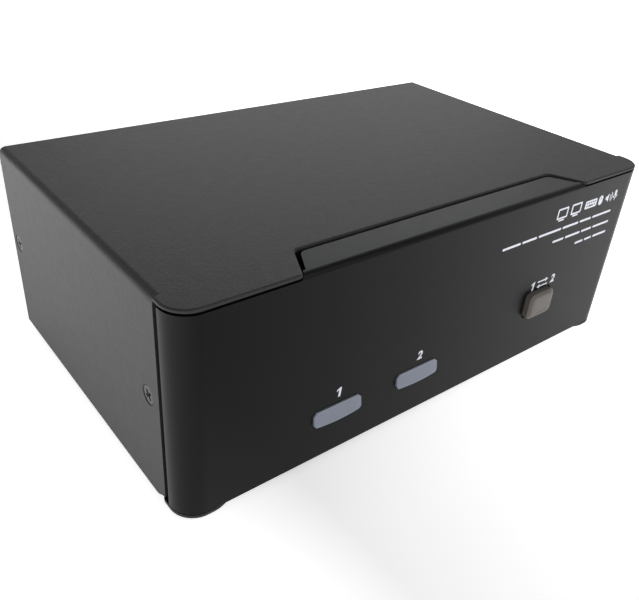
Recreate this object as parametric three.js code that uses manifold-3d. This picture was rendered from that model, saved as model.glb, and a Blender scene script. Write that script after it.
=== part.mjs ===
// A two-computer, two-monitor desktop KVM switch in a folded steel case.
// Units are millimetres. +Z is up, the front faces -Y, and the origin is on the table under the middle.
import * as THREE from "three";
import { mergeVertices } from "three/addons/utils/BufferGeometryUtils.js";
import Module from "manifold-3d";

const wasm = await Module();
wasm.setup();

// ---------------------------------------------------------------- driving dimensions

const WIDTH = 200;
const DEPTH = 125; // bezel face to rear panel face
const CASE_HEIGHT = 70.5;
const FOOT_HEIGHT = 2.5;
const SHEET = 1; // steel thickness
const WALL = 2.5; // bezel plastic thickness
const BOARD = 1.6; // circuit board thickness
const GAP = 0.3; // clearance between pieces that touch

const SIDE = WIDTH / 2;
const FRONT = -63.5; // bezel face
const REAR = FRONT + DEPTH; // outer face of the rear panel
const FLOOR = FOOT_HEIGHT; // underside of the base pan
const ROOF = FLOOR + CASE_HEIGHT; // top of the cover
const DECK = FLOOR + SHEET; // inside face of the base pan
const INNER_SIDE = SIDE - SHEET - GAP; // outer face of the flanges inside the cover

const BEND_RADIUS = 2.5; // cover's folded edges
const CORNER_RADIUS = 8; // bezel's upright corners, and the sheet corners over and under them
const BEZEL_BACK = FRONT + 8.6; // rear edge of the bezel's wrapped ends
const COVER_SIDE_FRONT = FRONT + 10.6; // front edge of the cover's side walls
const NOTCH = { front: 62.5, back: 56.5, depth: 12.5, radius: 2.5 }; // half-widths, in the cover's front
const TONGUE = { gap: 1.5, drop: 0.4, radius: 2, foot: WALL }; // fills the notch, a step below the roof
const SKIRT = { x: [SIDE - 4.2, SIDE - 2], z: [FLOOR + 3, ROOF - 4] }; // bezel's lip behind the side gaps
const PAN_TAB = { inner: 88.4, setback: 3 }; // the pan reaches the bezel's face only outside inner

const FRONT_WALL = FRONT + 13.6; // front face of the pan's upright wall
const FLANGE_LENGTH = 10;
const FLANGE_Z = [FLOOR + 5.5, ROOF - 7];
const COVER_SCREW_Y = [FRONT + 17, FRONT + 119.5];
const COVER_SCREW_Z = FLOOR + 36;
const BEZEL_SCREW = { x: 75, z: 37 };
const PANEL_SCREW = { x: 60, y: REAR - 5.5 };

const BUTTON = {
  x: 49.8, z: FLOOR + 25.1, width: 13.6, height: 10.4, radius: 1.8, stand: 3, travel: 1.2, clearance: 0.45,
};
const BAR = { xs: [-46.2, -12], z: FLOOR + 17.25, width: 18.6, height: 5.6, radius: 1.1, stand: 1.7 };

const FRONT_BOARD = { y: FRONT + 9.9, x: [-62, 60], z: [12, 36] };
const FRONT_POST_XS = [-29, 25];
const BOARD_HALF_WIDTH = 93;
const BOARD_Y = [-40, REAR - 3];
const LOWER_BOARD_TOP = 12;
const UPPER_BOARD_TOP = 42;
const PILLARS = [[-86, -34], [86, -34], [-86, 36], [86, 36]];

const FEET = [[-82, -44], [82, -44], [-82, 46], [82, 46]];

// Rear connectors stand in columns, from +X to -X: power and hub, console, first and second computer.
const COLUMN_GAP = 3.1;
const NARROW = 13.4;
const BROAD = 38.6;
const COLUMNS = columnCentres([NARROW, NARROW, BROAD, BROAD, NARROW, BROAD, NARROW]);
const [HUB_X, CONSOLE_X, CONSOLE_VIDEO_X, PC1_VIDEO_X, PC1_X, PC2_VIDEO_X, PC2_X] = COLUMNS;

function columnCentres(widths) {
  const total = widths.reduce((sum, width) => sum + width, 0) + COLUMN_GAP * (widths.length - 1);
  let edge = total / 2;
  return widths.map((width) => {
    const centre = edge - width / 2;
    edge -= width + COLUMN_GAP;
    return centre;
  });
}

// ---------------------------------------------------------------- solids

const WELD = 1e-4; // vertices closer than this are one
const ARC = 3; // half the number of edges along a small corner
const ROUND = 5; // half the number of edges round a small circle

function solid(geometry) {
  const bare = geometry.index ? geometry.toNonIndexed() : geometry;
  bare.deleteAttribute("normal");
  bare.deleteAttribute("uv");
  const merged = mergeVertices(bare, WELD);
  const mesh = new wasm.Mesh({
    numProp: 3,
    vertProperties: merged.attributes.position.array,
    triVerts: new Uint32Array(merged.index.array),
  });
  return new wasm.Manifold(mesh);
}

function geometryOf(manifold) {
  const { vertProperties, triVerts } = manifold.getMesh();
  const indexed = new THREE.BufferGeometry();
  indexed.setAttribute("position", new THREE.BufferAttribute(vertProperties, 3));
  indexed.setIndex(new THREE.BufferAttribute(triVerts, 1));
  const flat = indexed.toNonIndexed();
  flat.computeVertexNormals();
  return flat;
}

const join = (...solids) => solids.reduce((whole, each) => whole.add(each));
const cut = (whole, ...tools) => tools.reduce((left, tool) => left.subtract(tool), whole);

function box([x0, x1], [y0, y1], [z0, z1]) {
  const geometry = new THREE.BoxGeometry(x1 - x0, y1 - y0, z1 - z0);
  return solid(geometry.translate((x0 + x1) / 2, (y0 + y1) / 2, (z0 + z1) / 2));
}

// The outline's two axes become the first two directions given, and it is drawn out along the third.
function extrude(outline, length, segments, directions) {
  const geometry = new THREE.ExtrudeGeometry(outline, {
    depth: length,
    bevelEnabled: false,
    curveSegments: segments,
  });
  return geometry.applyMatrix4(new THREE.Matrix4().makeBasis(...directions));
}

const X = new THREE.Vector3(1, 0, 0);
const Y = new THREE.Vector3(0, 1, 0);
const Z = new THREE.Vector3(0, 0, 1);
const BACKWARD = new THREE.Vector3(0, -1, 0);

const alongX = (yz, x0, x1, segments = ARC) =>
  solid(extrude(yz, x1 - x0, segments, [Y, Z, X]).translate(x0, 0, 0));
const alongY = (xz, y0, y1, segments = ARC) =>
  solid(extrude(xz, y1 - y0, segments, [X, Z, BACKWARD]).translate(0, y1, 0));
const alongZ = (xy, z0, z1, segments = ARC) =>
  solid(extrude(xy, z1 - z0, segments, [X, Y, Z]).translate(0, 0, z0));

// ---------------------------------------------------------------- outlines

function polygon(points) {
  return new THREE.Shape(points.map(([a, b]) => new THREE.Vector2(a, b)));
}

function disc(radius, a = 0, b = 0) {
  return new THREE.Shape().absarc(a, b, radius, 0, 2 * Math.PI);
}

function roundedRectangle(width, height, radius, a = 0, b = 0) {
  const w = width / 2 - radius;
  const h = height / 2 - radius;
  return new THREE.Shape()
    .absarc(a + w, b + h, radius, 0, Math.PI / 2)
    .absarc(a - w, b + h, radius, Math.PI / 2, Math.PI)
    .absarc(a - w, b - h, radius, Math.PI, 1.5 * Math.PI)
    .absarc(a + w, b - h, radius, 1.5 * Math.PI, 2 * Math.PI);
}

function hexagon(acrossFlats, a, b) {
  const radius = acrossFlats / Math.sqrt(3);
  const corner = (i) => [
    a + radius * Math.cos((i * Math.PI) / 3),
    b + radius * Math.sin((i * Math.PI) / 3),
  ];
  return polygon([0, 1, 2, 3, 4, 5].map(corner));
}

// A D-shaped shell: wider at the top than at the bottom.
function dShape(width, height, grow, a, b) {
  const top = width / 2 + grow;
  const bottom = width / 2 - height * 0.18 + grow;
  const h = height / 2 + grow;
  const corners = [[a - top, b + h], [a - bottom, b - h], [a + bottom, b - h], [a + top, b + h]];
  return softPolygon(corners, 1.8);
}

// A polygon whose corners are rounded by starting each curve a set distance before its corner.
function softPolygon(points, distance) {
  const corners = points.map(([a, b]) => new THREE.Vector2(a, b));
  const shape = new THREE.Shape();
  corners.forEach((corner, i) => {
    const before = corners[(i + corners.length - 1) % corners.length];
    const after = corners[(i + 1) % corners.length];
    const start = corner.clone().add(before.clone().sub(corner).setLength(distance));
    const end = corner.clone().add(after.clone().sub(corner).setLength(distance));
    if (i === 0) shape.moveTo(start.x, start.y);
    else shape.lineTo(start.x, start.y);
    shape.quadraticCurveTo(corner.x, corner.y, end.x, end.y);
  });
  shape.closePath();
  return shape;
}

// Plan of everything between the front face and a rear limit, with two rounded front corners.
function frontPlan(back, inset = 0) {
  const half = SIDE - inset;
  const radius = CORNER_RADIUS - inset;
  const centre = FRONT + CORNER_RADIUS;
  return new THREE.Shape()
    .moveTo(half, back)
    .lineTo(-half, back)
    .absarc(-half + radius, centre, radius, Math.PI, 1.5 * Math.PI)
    .absarc(half - radius, centre, radius, 1.5 * Math.PI, 2 * Math.PI);
}

// The trapezoid cut into the cover's front edge, or with a gap, the tongue that fills it.
function notchPlan(gap) {
  const front = NOTCH.front - gap;
  const back = NOTCH.back - gap;
  const depth = FRONT + NOTCH.depth - gap;
  const lead = FRONT - NOTCH.radius * 2;
  const right = [[front, lead], [front, FRONT], [back, depth]];
  const left = right.map(([x, y]) => [-x, y]).reverse();
  return softPolygon([...right, ...left], NOTCH.radius);
}

// ---------------------------------------------------------------- the case

function mirrored(make) {
  return join(make(-1), make(1));
}

// A box between two distances from the middle, on one side or the other.
function sideBox(sign, [near, far], ys, zs) {
  return box(sign > 0 ? [near, far] : [-far, -near], ys, zs);
}

function coverSection() {
  const inner = SIDE - SHEET;
  const bend = ROOF - BEND_RADIUS;
  const near = SIDE - BEND_RADIUS;
  return new THREE.Shape()
    .moveTo(-SIDE, FLOOR)
    .lineTo(-inner, FLOOR)
    .absarc(-near, bend, BEND_RADIUS - SHEET, Math.PI, Math.PI / 2, true)
    .absarc(near, bend, BEND_RADIUS - SHEET, Math.PI / 2, 0, true)
    .lineTo(inner, FLOOR)
    .lineTo(SIDE, FLOOR)
    .absarc(near, bend, BEND_RADIUS, 0, Math.PI / 2)
    .absarc(-near, bend, BEND_RADIUS, Math.PI / 2, Math.PI);
}

// Countersunk hole through a side wall, wide at the outside.
function countersink(sign, y) {
  const profile = [[0, 0], [3.3, 0], [2.2, SHEET + 0.2], [0, SHEET + 0.2]];
  const cone = new THREE.LatheGeometry(profile.map(([r, h]) => new THREE.Vector2(r, h)), 2 * ROUND);
  cone.rotateZ((sign * Math.PI) / 2).translate(sign * (SIDE + 0.1), y, COVER_SCREW_Z);
  return solid(cone);
}

function topCover() {
  const folded = alongY(coverSection(), COVER_SIDE_FRONT, REAR);
  const apron = alongZ(frontPlan(COVER_SIDE_FRONT), ROOF - SHEET, ROOF);
  const notch = alongZ(notchPlan(0), ROOF - 2 * SHEET, ROOF + SHEET);
  const sinks = [-1, 1].flatMap((sign) => COVER_SCREW_Y.map((y) => countersink(sign, y)));
  const lowerCorner = polygon([
    [COVER_SIDE_FRONT - 1, FLOOR - 1],
    [COVER_SIDE_FRONT + 3, FLOOR - 1],
    [COVER_SIDE_FRONT + 0.9, FLOOR + 0.9],
    [COVER_SIDE_FRONT - 1, FLOOR + 3],
  ]);
  const corner = alongX(lowerCorner, -SIDE - 1, SIDE + 1);
  return cut(folded.add(apron), notch, corner, ...sinks);
}

// An inward-facing flange with a threaded lug for each side screw.
function screwFlange(sign, ys, screwY) {
  const outer = INNER_SIDE;
  const plate = sideBox(sign, [outer - SHEET, outer], ys, FLANGE_Z);
  const x0 = sign > 0 ? outer - SHEET - 2 : -outer + SHEET / 2;
  const lug = alongX(disc(3, screwY, COVER_SCREW_Z), x0, x0 + 2 + SHEET / 2, ROUND);
  const hole = alongX(disc(1.8, screwY, COVER_SCREW_Z), -outer - 1, outer + 1, ROUND);
  const clearMiddle = box([-outer + 4, outer - 4], [screwY - 4, screwY + 4], [FLOOR, ROOF]);
  return plate.add(lug).subtract(hole.subtract(clearMiddle));
}

// An upright wall that fills the cover's section, its top corners clipped to clear the folded edges.
function uprightPlate(base) {
  const top = ROOF - SHEET - GAP;
  const clip = BEND_RADIUS;
  const right = [[INNER_SIDE, base], [INNER_SIDE, top - clip], [INNER_SIDE - clip, top]];
  const left = right.map(([x, z]) => [-x, z]).reverse();
  return polygon([...right, ...left]);
}

function panPlan() {
  const tab = PAN_TAB.inner;
  const recess = FRONT + PAN_TAB.setback;
  const reach = COVER_SIDE_FRONT - GAP;
  const radius = CORNER_RADIUS;
  return new THREE.Shape()
    .moveTo(INNER_SIDE, REAR)
    .lineTo(-INNER_SIDE, REAR)
    .lineTo(-INNER_SIDE, reach)
    .lineTo(-SIDE, reach)
    .absarc(-SIDE + radius, FRONT + radius, radius, Math.PI, 1.5 * Math.PI)
    .lineTo(-tab, FRONT)
    .lineTo(-tab + PAN_TAB.setback, recess)
    .lineTo(tab - PAN_TAB.setback, recess)
    .lineTo(tab, FRONT)
    .absarc(SIDE - radius, FRONT + radius, radius, 1.5 * Math.PI, 2 * Math.PI)
    .lineTo(SIDE, reach)
    .lineTo(INNER_SIDE, reach);
}

function basePan() {
  const sheet = alongZ(panPlan(), FLOOR, DECK);
  const wallBack = FRONT_WALL + SHEET;
  const wall = alongY(uprightPlate(DECK - SHEET / 2), FRONT_WALL, wallBack);
  const flangeYs = [wallBack - SHEET, wallBack + FLANGE_LENGTH];
  const flanges = mirrored((sign) => screwFlange(sign, flangeYs, COVER_SCREW_Y[0]));
  const lipYs = [wallBack + FLANGE_LENGTH + 4, REAR - 2 * FLANGE_LENGTH];
  const lips = mirrored((sign) =>
    sideBox(sign, [INNER_SIDE - SHEET, INNER_SIDE], lipYs, [DECK - SHEET / 2, DECK + 5]));
  const bezelHoles = mirrored((sign) =>
    alongY(disc(1.6, sign * BEZEL_SCREW.x, BEZEL_SCREW.z), FRONT_WALL - 1, wallBack + 1, ROUND));
  const cableSlot = box([RIBBON.x - 9, RIBBON.x + 9], [FRONT_WALL - 1, wallBack + 1], [18, 26]);
  const holes = [
    ...FEET.map(([x, y]) => alongZ(disc(1.9, x, y), FLOOR - 1, DECK + 1, ROUND)),
    ...[-1, 1].map((sign) =>
      alongZ(disc(1.9, sign * PANEL_SCREW.x, PANEL_SCREW.y), FLOOR - 1, DECK + 1, ROUND)),
  ];
  return cut(join(sheet, wall, flanges, lips), bezelHoles, cableSlot, ...holes);
}

function rearPanel() {
  const inside = REAR - SHEET;
  const plate = alongY(uprightPlate(DECK + GAP), inside, REAR);
  const flangeYs = [inside - FLANGE_LENGTH - SHEET, inside + SHEET / 2];
  const flanges = mirrored((sign) => screwFlange(sign, flangeYs, COVER_SCREW_Y[1]));
  const foot = box([-80, 80], [inside - 9, inside + SHEET / 2], [DECK + GAP, DECK + GAP + SHEET]);
  const holes = [-1, 1].map((sign) =>
    alongZ(disc(1.6, sign * PANEL_SCREW.x, PANEL_SCREW.y), DECK, DECK + 3, ROUND));
  return cut(join(plate, flanges, foot), ...holes, ...panelCutouts());
}

function panelCutouts() {
  const through = (outline, segments = ARC) => alongY(outline, REAR - SHEET - 0.6, REAR + 1, segments);
  const lower = LOWER_BOARD_TOP + GAP;
  const upper = UPPER_BOARD_TOP + GAP;
  const video = VIDEO_XS.flatMap((x) => [VGA, DVI].flatMap((kind) => {
    const z = kind.base + kind.height / 2;
    const screws = [-1, 1].map((sign) => through(disc(1.9, x + sign * kind.screw, z), ROUND));
    return [through(dShape(kind.shell[0], kind.shell[1], GAP, x, z)), ...screws];
  }));
  const window = (width, height, x, base) =>
    through(roundedRectangle(width + 2 * GAP, height + 2 * GAP, 0.5, x, base + height / 2));
  const square = [
    window(USB_A.width, USB_A.height, CONSOLE_X, lower),
    window(USB_A.width, USB_A.height, HUB_X, upper),
    window(USB_B.width, USB_B.height, PC1_X, lower),
    window(USB_B.width, USB_B.height, PC2_X, lower),
    window(POWER.width, POWER.height, HUB_X, lower),
  ];
  const round = [CONSOLE_X, PC1_X, PC2_X].flatMap((x) =>
    AUDIO.rise.map((rise) => through(disc(AUDIO.nose + GAP, x, upper + rise), ROUND)));
  return [...video, ...square, ...round];
}

// ---------------------------------------------------------------- bezel, button and light bars

// What is cut away in front of the tongue and above its rounded front edge. The tongue's foot, over the front
// wall, all but closes the gap.
function tongueFront() {
  const top = ROOF - TONGUE.drop;
  const { radius } = TONGUE;
  const outline = new THREE.Shape()
    .moveTo(FRONT - 10, top - 5)
    .lineTo(FRONT, top - 5)
    .lineTo(FRONT, top - radius)
    .absarc(FRONT + radius, top - radius, radius, Math.PI, Math.PI / 2, true)
    .lineTo(FRONT + radius, ROOF + 1)
    .lineTo(FRONT - 10, ROOF + 1);
  return alongX(outline, GAP - NOTCH.front, NOTCH.front - GAP);
}

function frontBezel() {
  const low = DECK + GAP;
  const high = ROOF - SHEET - GAP;
  const block = alongZ(frontPlan(BEZEL_BACK), low, high, 2 * ARC);
  const hollow = alongZ(frontPlan(BEZEL_BACK + 1, WALL), low + WALL, high - WALL, 2 * ARC);
  const skirt = mirrored((sign) => sideBox(sign, SKIRT.x, [BEZEL_BACK - WALL, FRONT_WALL - GAP], SKIRT.z));
  const top = ROOF - TONGUE.drop;
  const foot = box([-SIDE, SIDE], [FRONT, FRONT + TONGUE.foot], [high - WALL, top]);
  const tongue = alongZ(notchPlan(TONGUE.gap), high - WALL, top)
    .add(alongZ(notchPlan(GAP), high - WALL, top).intersect(foot));
  const shell = block.subtract(hollow).add(tongue).subtract(tongueFront()).add(skirt);
  const inside = FRONT + WALL - 0.5;
  const post = (x, z, back) => cut(
    alongY(disc(2.6, x, z), inside, back, ROUND),
    alongY(disc(1.4, x, z), inside + 2, back + 1, ROUND),
  );
  const wallPosts = [-1, 1].map((sign) => post(sign * BEZEL_SCREW.x, BEZEL_SCREW.z, FRONT_WALL - GAP));
  const boardPosts = FRONT_POST_XS.map((x) => post(x, boardMiddle(), FRONT_BOARD.y - GAP));
  const through = (outline) => alongY(outline, FRONT - 1, FRONT + WALL + 1);
  const { x, z, width, height, radius, clearance } = BUTTON;
  const buttonHole = through(roundedRectangle(width + 2 * clearance, height + 2 * clearance, radius, x, z));
  const windows = BAR.xs.map((barX) =>
    through(roundedRectangle(BAR.width + 2 * GAP, BAR.height + 2 * GAP, BAR.radius, barX, BAR.z)));
  return cut(join(shell, ...wallPosts, ...boardPosts), buttonHole, ...windows);
}

function boardMiddle() {
  return (FRONT_BOARD.z[0] + FRONT_BOARD.z[1]) / 2;
}

// Cap with bevelled sides, and the flange that stops it falling out of the bezel.
function selectButton() {
  const { x, z, width, height, radius, stand } = BUTTON;
  const face = FRONT - stand;
  const bevel = 1.2;
  const back = FRONT + WALL + GAP;
  const section = (half, centre) => polygon([
    [centre - half, back + 0.5],
    [centre - half, face + bevel],
    [centre - half + bevel, face],
    [centre + half - bevel, face],
    [centre + half, face + bevel],
    [centre + half, back + 0.5],
  ]);
  const plan = alongZ(section(width / 2, x), z - height, z + height);
  const sideView = polygon([
    [back + 0.5, z - height / 2],
    [face + bevel, z - height / 2],
    [face, z - height / 2 + bevel],
    [face, z + height / 2 - bevel],
    [face + bevel, z + height / 2],
    [back + 0.5, z + height / 2],
  ]);
  const profile = alongX(sideView, x - width, x + width);
  const outline = alongY(roundedRectangle(width, height, radius, x, z), face - 1, back + 1);
  const cap = plan.intersect(profile).intersect(outline);
  const flange = alongY(roundedRectangle(width + 3, height + 3, radius, x, z), back, back + 1.2);
  return cap.add(flange);
}

const SWITCH = {
  back: FRONT_BOARD.y - GAP,
  front: FRONT_BOARD.y - GAP - 3.9,
  size: 8,
  bore: 2,
  boreDepth: 2.9,
};

function switchBody() {
  const { x, z } = BUTTON;
  const body = alongY(roundedRectangle(SWITCH.size, SWITCH.size, 0.8, x, z), SWITCH.front, SWITCH.back);
  const boreEnd = SWITCH.front + SWITCH.boreDepth;
  return body.subtract(alongY(disc(SWITCH.bore, x, z), SWITCH.front - 1, boreEnd, ROUND));
}

function switchPlunger() {
  const tip = FRONT + WALL + GAP + 1.2 + GAP;
  const end = SWITCH.front + SWITCH.boreDepth - BUTTON.travel - GAP;
  return alongY(disc(SWITCH.bore - 0.35, BUTTON.x, BUTTON.z), tip, end, ROUND);
}

// A lens that bulges out of its window, with a flange behind the bezel and a stem to its LED.
function lightPipe(x) {
  const { z, width, height, radius, stand } = BAR;
  const back = FRONT + WALL + GAP;
  const half = width / 2;
  const ends = FRONT - stand * 0.62;
  const bulge = new THREE.Shape()
    .moveTo(x + half, back + 0.5)
    .lineTo(x - half, back + 0.5)
    .lineTo(x - half, FRONT - 0.2)
    .lineTo(x - half + 1.1, ends)
    .quadraticCurveTo(x, 2 * (FRONT - stand) - ends, x + half - 1.1, ends)
    .lineTo(x + half, FRONT - 0.2);
  const lens = alongZ(bulge, z - height, z + height, 2 * ARC)
    .intersect(alongY(roundedRectangle(width, height, radius, x, z), FRONT - 4, back + 1));
  const flange = alongY(roundedRectangle(width + 2.4, height + 2.4, 1, x, z), back, back + 1);
  const stemOutline = roundedRectangle(width - 4, height - 1.6, 0.8, x, z);
  const stem = alongY(stemOutline, back + 0.5, LED.front - 2 * GAP);
  return join(lens, flange, stem);
}

const LED = { front: FRONT_BOARD.y - GAP - 1.9, width: 5, height: 3 };

function indicatorLed(x) {
  return alongY(roundedRectangle(LED.width, LED.height, 0.5, x, BAR.z), LED.front, FRONT_BOARD.y - GAP);
}

function frontBoard() {
  const { x: [x0, x1], y, z } = FRONT_BOARD;
  const holes = FRONT_POST_XS.map((x) => alongY(disc(1.5, x, boardMiddle()), y - 1, y + BOARD + 1, ROUND));
  return cut(box([x0, x1], [y, y + BOARD], z), ...holes);
}

// ---------------------------------------------------------------- fasteners and feet

// Countersunk screw in a side wall, driven from outside.
function coverScrew(sign, y) {
  const head = [[0, 0.15], [2.9, 0.15], [1.45, 1.55], [1.25, 1.55], [1.25, 6], [0, 6]];
  const turned = new THREE.LatheGeometry(head.map(([r, h]) => new THREE.Vector2(r, h)), 2 * ROUND);
  turned.rotateZ((sign * Math.PI) / 2).translate(sign * SIDE, y, COVER_SCREW_Z);
  const [deep, thin, long] = [[-1.1, 0.9], [-0.35, 0.35], [-1.6, 1.6]];
  const cross = box(deep, thin, long).add(box(deep, long, thin)).translate([sign * SIDE, y, COVER_SCREW_Z]);
  return solid(turned).subtract(cross);
}

// Pan-head screw standing on its tip at z = 0, head upwards, as a lathe profile.
function panScrew(headRadius, headHeight, shankRadius, length) {
  const profile = [
    [0, -length], [shankRadius, -length], [shankRadius, 0], [headRadius, 0],
    [headRadius, headHeight * 0.5], [headRadius * 0.75, headHeight], [0, headHeight],
  ];
  return new THREE.LatheGeometry(profile.map(([r, h]) => new THREE.Vector2(r, h)), 2 * ROUND);
}

function bezelScrew(sign) {
  const turned = panScrew(2.6, 1.8, 1.1, 8);
  turned.translate(sign * BEZEL_SCREW.x, FRONT_WALL + SHEET + GAP, BEZEL_SCREW.z);
  return solid(turned);
}

function frontBoardScrew(x) {
  const turned = panScrew(2.4, 1.3, 1.1, 6);
  turned.translate(x, FRONT_BOARD.y + BOARD + GAP, boardMiddle());
  return solid(turned);
}

function panelScrew(sign) {
  const turned = panScrew(2.6, 1.3, 1.25, 6);
  turned.rotateX(-Math.PI / 2).translate(sign * PANEL_SCREW.x, PANEL_SCREW.y, FLOOR - GAP);
  return solid(turned);
}

function boardScrew([x, y]) {
  const turned = panScrew(2.7, 1.8, 1.2, 6);
  turned.rotateX(Math.PI / 2).translate(x, y, UPPER_BOARD_TOP + GAP);
  return solid(turned);
}

// Snap-in rubber foot: a tapered disc, a neck through the pan and a barb above it.
function foot([x, y]) {
  const top = FLOOR - GAP;
  const barb = DECK + GAP;
  const profile = [
    [0, 0], [5.6, 0], [6.2, 0.6], [6.2, top],
    [1.5, top], [1.5, barb], [2.5, barb], [1.2, barb + 1.8], [0, barb + 1.8],
  ];
  const turned = new THREE.LatheGeometry(profile.map(([r, h]) => new THREE.Vector2(r, h)), 3 * ROUND);
  return solid(turned.rotateX(Math.PI / 2).translate(x, y, 0));
}

// ---------------------------------------------------------------- boards and what stands on them

function circuitBoard(top) {
  const [front, back] = BOARD_Y;
  const outline = roundedRectangle(2 * BOARD_HALF_WIDTH, back - front, 2, 0, (front + back) / 2);
  const holes = PILLARS.map(([x, y]) => alongZ(disc(1.8, x, y), top - BOARD - 1, top + 1, ROUND));
  return cut(alongZ(outline, top - BOARD, top), ...holes);
}

function lowerStandoff([x, y]) {
  const top = LOWER_BOARD_TOP - BOARD - GAP;
  const bore = alongZ(disc(1.6, x, y), DECK + 1.5, top + 1, ROUND);
  return alongZ(hexagon(5.5, x, y), DECK + GAP, top).subtract(bore);
}

function upperStandoff([x, y]) {
  const top = UPPER_BOARD_TOP - BOARD - GAP;
  const base = LOWER_BOARD_TOP + GAP;
  const stud = alongZ(disc(1.25, x, y), base - 6, base + 1, ROUND);
  const bore = alongZ(disc(1.5, x, y), top - 7, top + 1, ROUND);
  return alongZ(hexagon(5.5, x, y), base, top).subtract(bore).add(stud);
}

function boardStacker() {
  return box([-30, 30], [-12, -7], [LOWER_BOARD_TOP + GAP, UPPER_BOARD_TOP - BOARD - GAP]);
}

function chip(x, y, size, height) {
  const body = roundedRectangle(size, size, 0.6, x, y);
  return alongZ(body, LOWER_BOARD_TOP + GAP, LOWER_BOARD_TOP + GAP + height, 1);
}

const RIBBON = {
  x: 0, width: 14, thickness: 0.8, start: FRONT_BOARD.y + BOARD + GAP, level: 22, drop: -33,
};

// Flat cable from the front board, through the slot in the pan's wall and down to its header.
function ribbonCable() {
  const { x, width, thickness, start, level, drop } = RIBBON;
  const bend = 3;
  const low = LOWER_BOARD_TOP + GAP + RIBBON_HEADER.height + GAP;
  const route = new THREE.Shape()
    .moveTo(start, level)
    .lineTo(drop - bend - thickness, level)
    .absarc(drop - bend - thickness, level - bend, bend, Math.PI / 2, 0, true)
    .lineTo(drop - thickness, low)
    .lineTo(drop, low)
    .absarc(drop - bend - thickness, level - bend, bend + thickness, 0, Math.PI / 2)
    .lineTo(start, level + thickness);
  return alongX(route, x - width / 2, x + width / 2);
}

const RIBBON_HEADER = { width: 18, depth: 5, height: 5 };

function ribbonHeader() {
  const { width, depth, height } = RIBBON_HEADER;
  const middle = RIBBON.drop - RIBBON.thickness / 2;
  const base = LOWER_BOARD_TOP + GAP;
  const xs = [RIBBON.x - width / 2, RIBBON.x + width / 2];
  return box(xs, [middle - depth / 2, middle + depth / 2], [base, base + height]);
}

// ---------------------------------------------------------------- rear connectors

const VIDEO_XS = [CONSOLE_VIDEO_X, PC1_VIDEO_X, PC2_VIDEO_X];
const VGA = {
  base: LOWER_BOARD_TOP + GAP, flange: 30.8, height: 12.5, depth: 14, shell: [16.9, 8.3], screw: 12.5,
};
const DVI = {
  base: UPPER_BOARD_TOP + GAP, flange: 38.4, height: 12.5, depth: 18, shell: [25.6, 9.4], screw: 16.5,
};
const SHELL_REACH = 4.5; // how far the video shells stand out of the panel
const JACKSCREW_REACH = 5;
const USB_A = { width: 13.1, height: 15.6, depth: 17, opening: [12.2, 5.2], pitch: 7.6, tongue: 1.9 };
const USB_B = { width: 12, height: 10.9, depth: 16, opening: [8.5, 7.8], tongue: [5.6, 3.2] };
const AUDIO = { width: 13, height: 24, depth: 12.5, nose: 3.7, bore: 1.8, rise: [6, 18] };
const POWER = { width: 9, height: 11, depth: 13.5, bore: 3.1, pin: 1 };

// A D-shaped video socket with its mounting flange and two hexagonal jackscrews.
function videoConnector(kind, x) {
  const z = kind.base + kind.height / 2;
  const flangeFront = REAR - SHEET - GAP;
  const zs = [kind.base, kind.base + kind.height];
  const flange = box([x - kind.flange / 2, x + kind.flange / 2], [flangeFront - 1, flangeFront], zs);
  const housingHalf = kind.shell[0] / 2 + 1.5;
  const housingYs = [flangeFront - kind.depth, flangeFront - 0.5];
  const housing = box([x - housingHalf, x + housingHalf], housingYs, zs);
  const tip = REAR + SHELL_REACH;
  const shell = alongY(dShape(...kind.shell, 0, x, z), flangeFront - 0.5, tip);
  const mouth = alongY(dShape(...kind.shell, -0.5, x, z), tip - 0.4, tip + 1);
  const jackscrew = (sign) => {
    const at = x + sign * kind.screw;
    const shank = alongY(disc(1.5, at, z), flangeFront - 0.5, REAR + 1, ROUND);
    const hex = alongY(hexagon(4.75, at, z), REAR + GAP, REAR + JACKSCREW_REACH);
    const bore = alongY(disc(1.3, at, z), REAR + 1, REAR + JACKSCREW_REACH + 1, ROUND);
    return hex.subtract(bore).add(shank);
  };
  return join(flange, housing, shell, jackscrew(-1), jackscrew(1)).subtract(mouth);
}

function usbAStack(x, base) {
  const { width, height, depth, opening, pitch, tongue } = USB_A;
  const face = REAR + 0.9;
  const block = box([x - width / 2, x + width / 2], [face - depth, face], [base, base + height]);
  const ports = [-0.5, 0.5].map((side) => {
    const z = base + height / 2 + side * pitch;
    const mouth = box([x - opening[0] / 2, x + opening[0] / 2], [face - 12, face + 1],
      [z - opening[1] / 2, z + opening[1] / 2]);
    const blade = box([x - 5.2, x + 5.2], [face - 13, face - 0.8],
      [z + opening[1] / 2 - 0.6 - tongue, z + opening[1] / 2 - 0.6]);
    return mouth.subtract(blade);
  });
  return cut(block, ...ports);
}

function usbB(x, base) {
  const { width, height, depth, opening, tongue } = USB_B;
  const face = REAR + 0.7;
  const z = base + height / 2;
  const block = box([x - width / 2, x + width / 2], [face - depth, face], [base, base + height]);
  const w = opening[0] / 2;
  const h = opening[1] / 2;
  const bevel = 1.6;
  const outline = polygon([[x - w, z - h], [x + w, z - h], [x + w, z + h - bevel], [x + w - bevel, z + h],
    [x - w + bevel, z + h], [x - w, z + h - bevel]]);
  const mouth = alongY(outline, face - 9, face + 1);
  const blade = box([x - tongue[0] / 2, x + tongue[0] / 2], [face - 10, face - 0.8],
    [z - tongue[1] / 2, z + tongue[1] / 2]);
  return block.subtract(mouth.subtract(blade));
}

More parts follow.
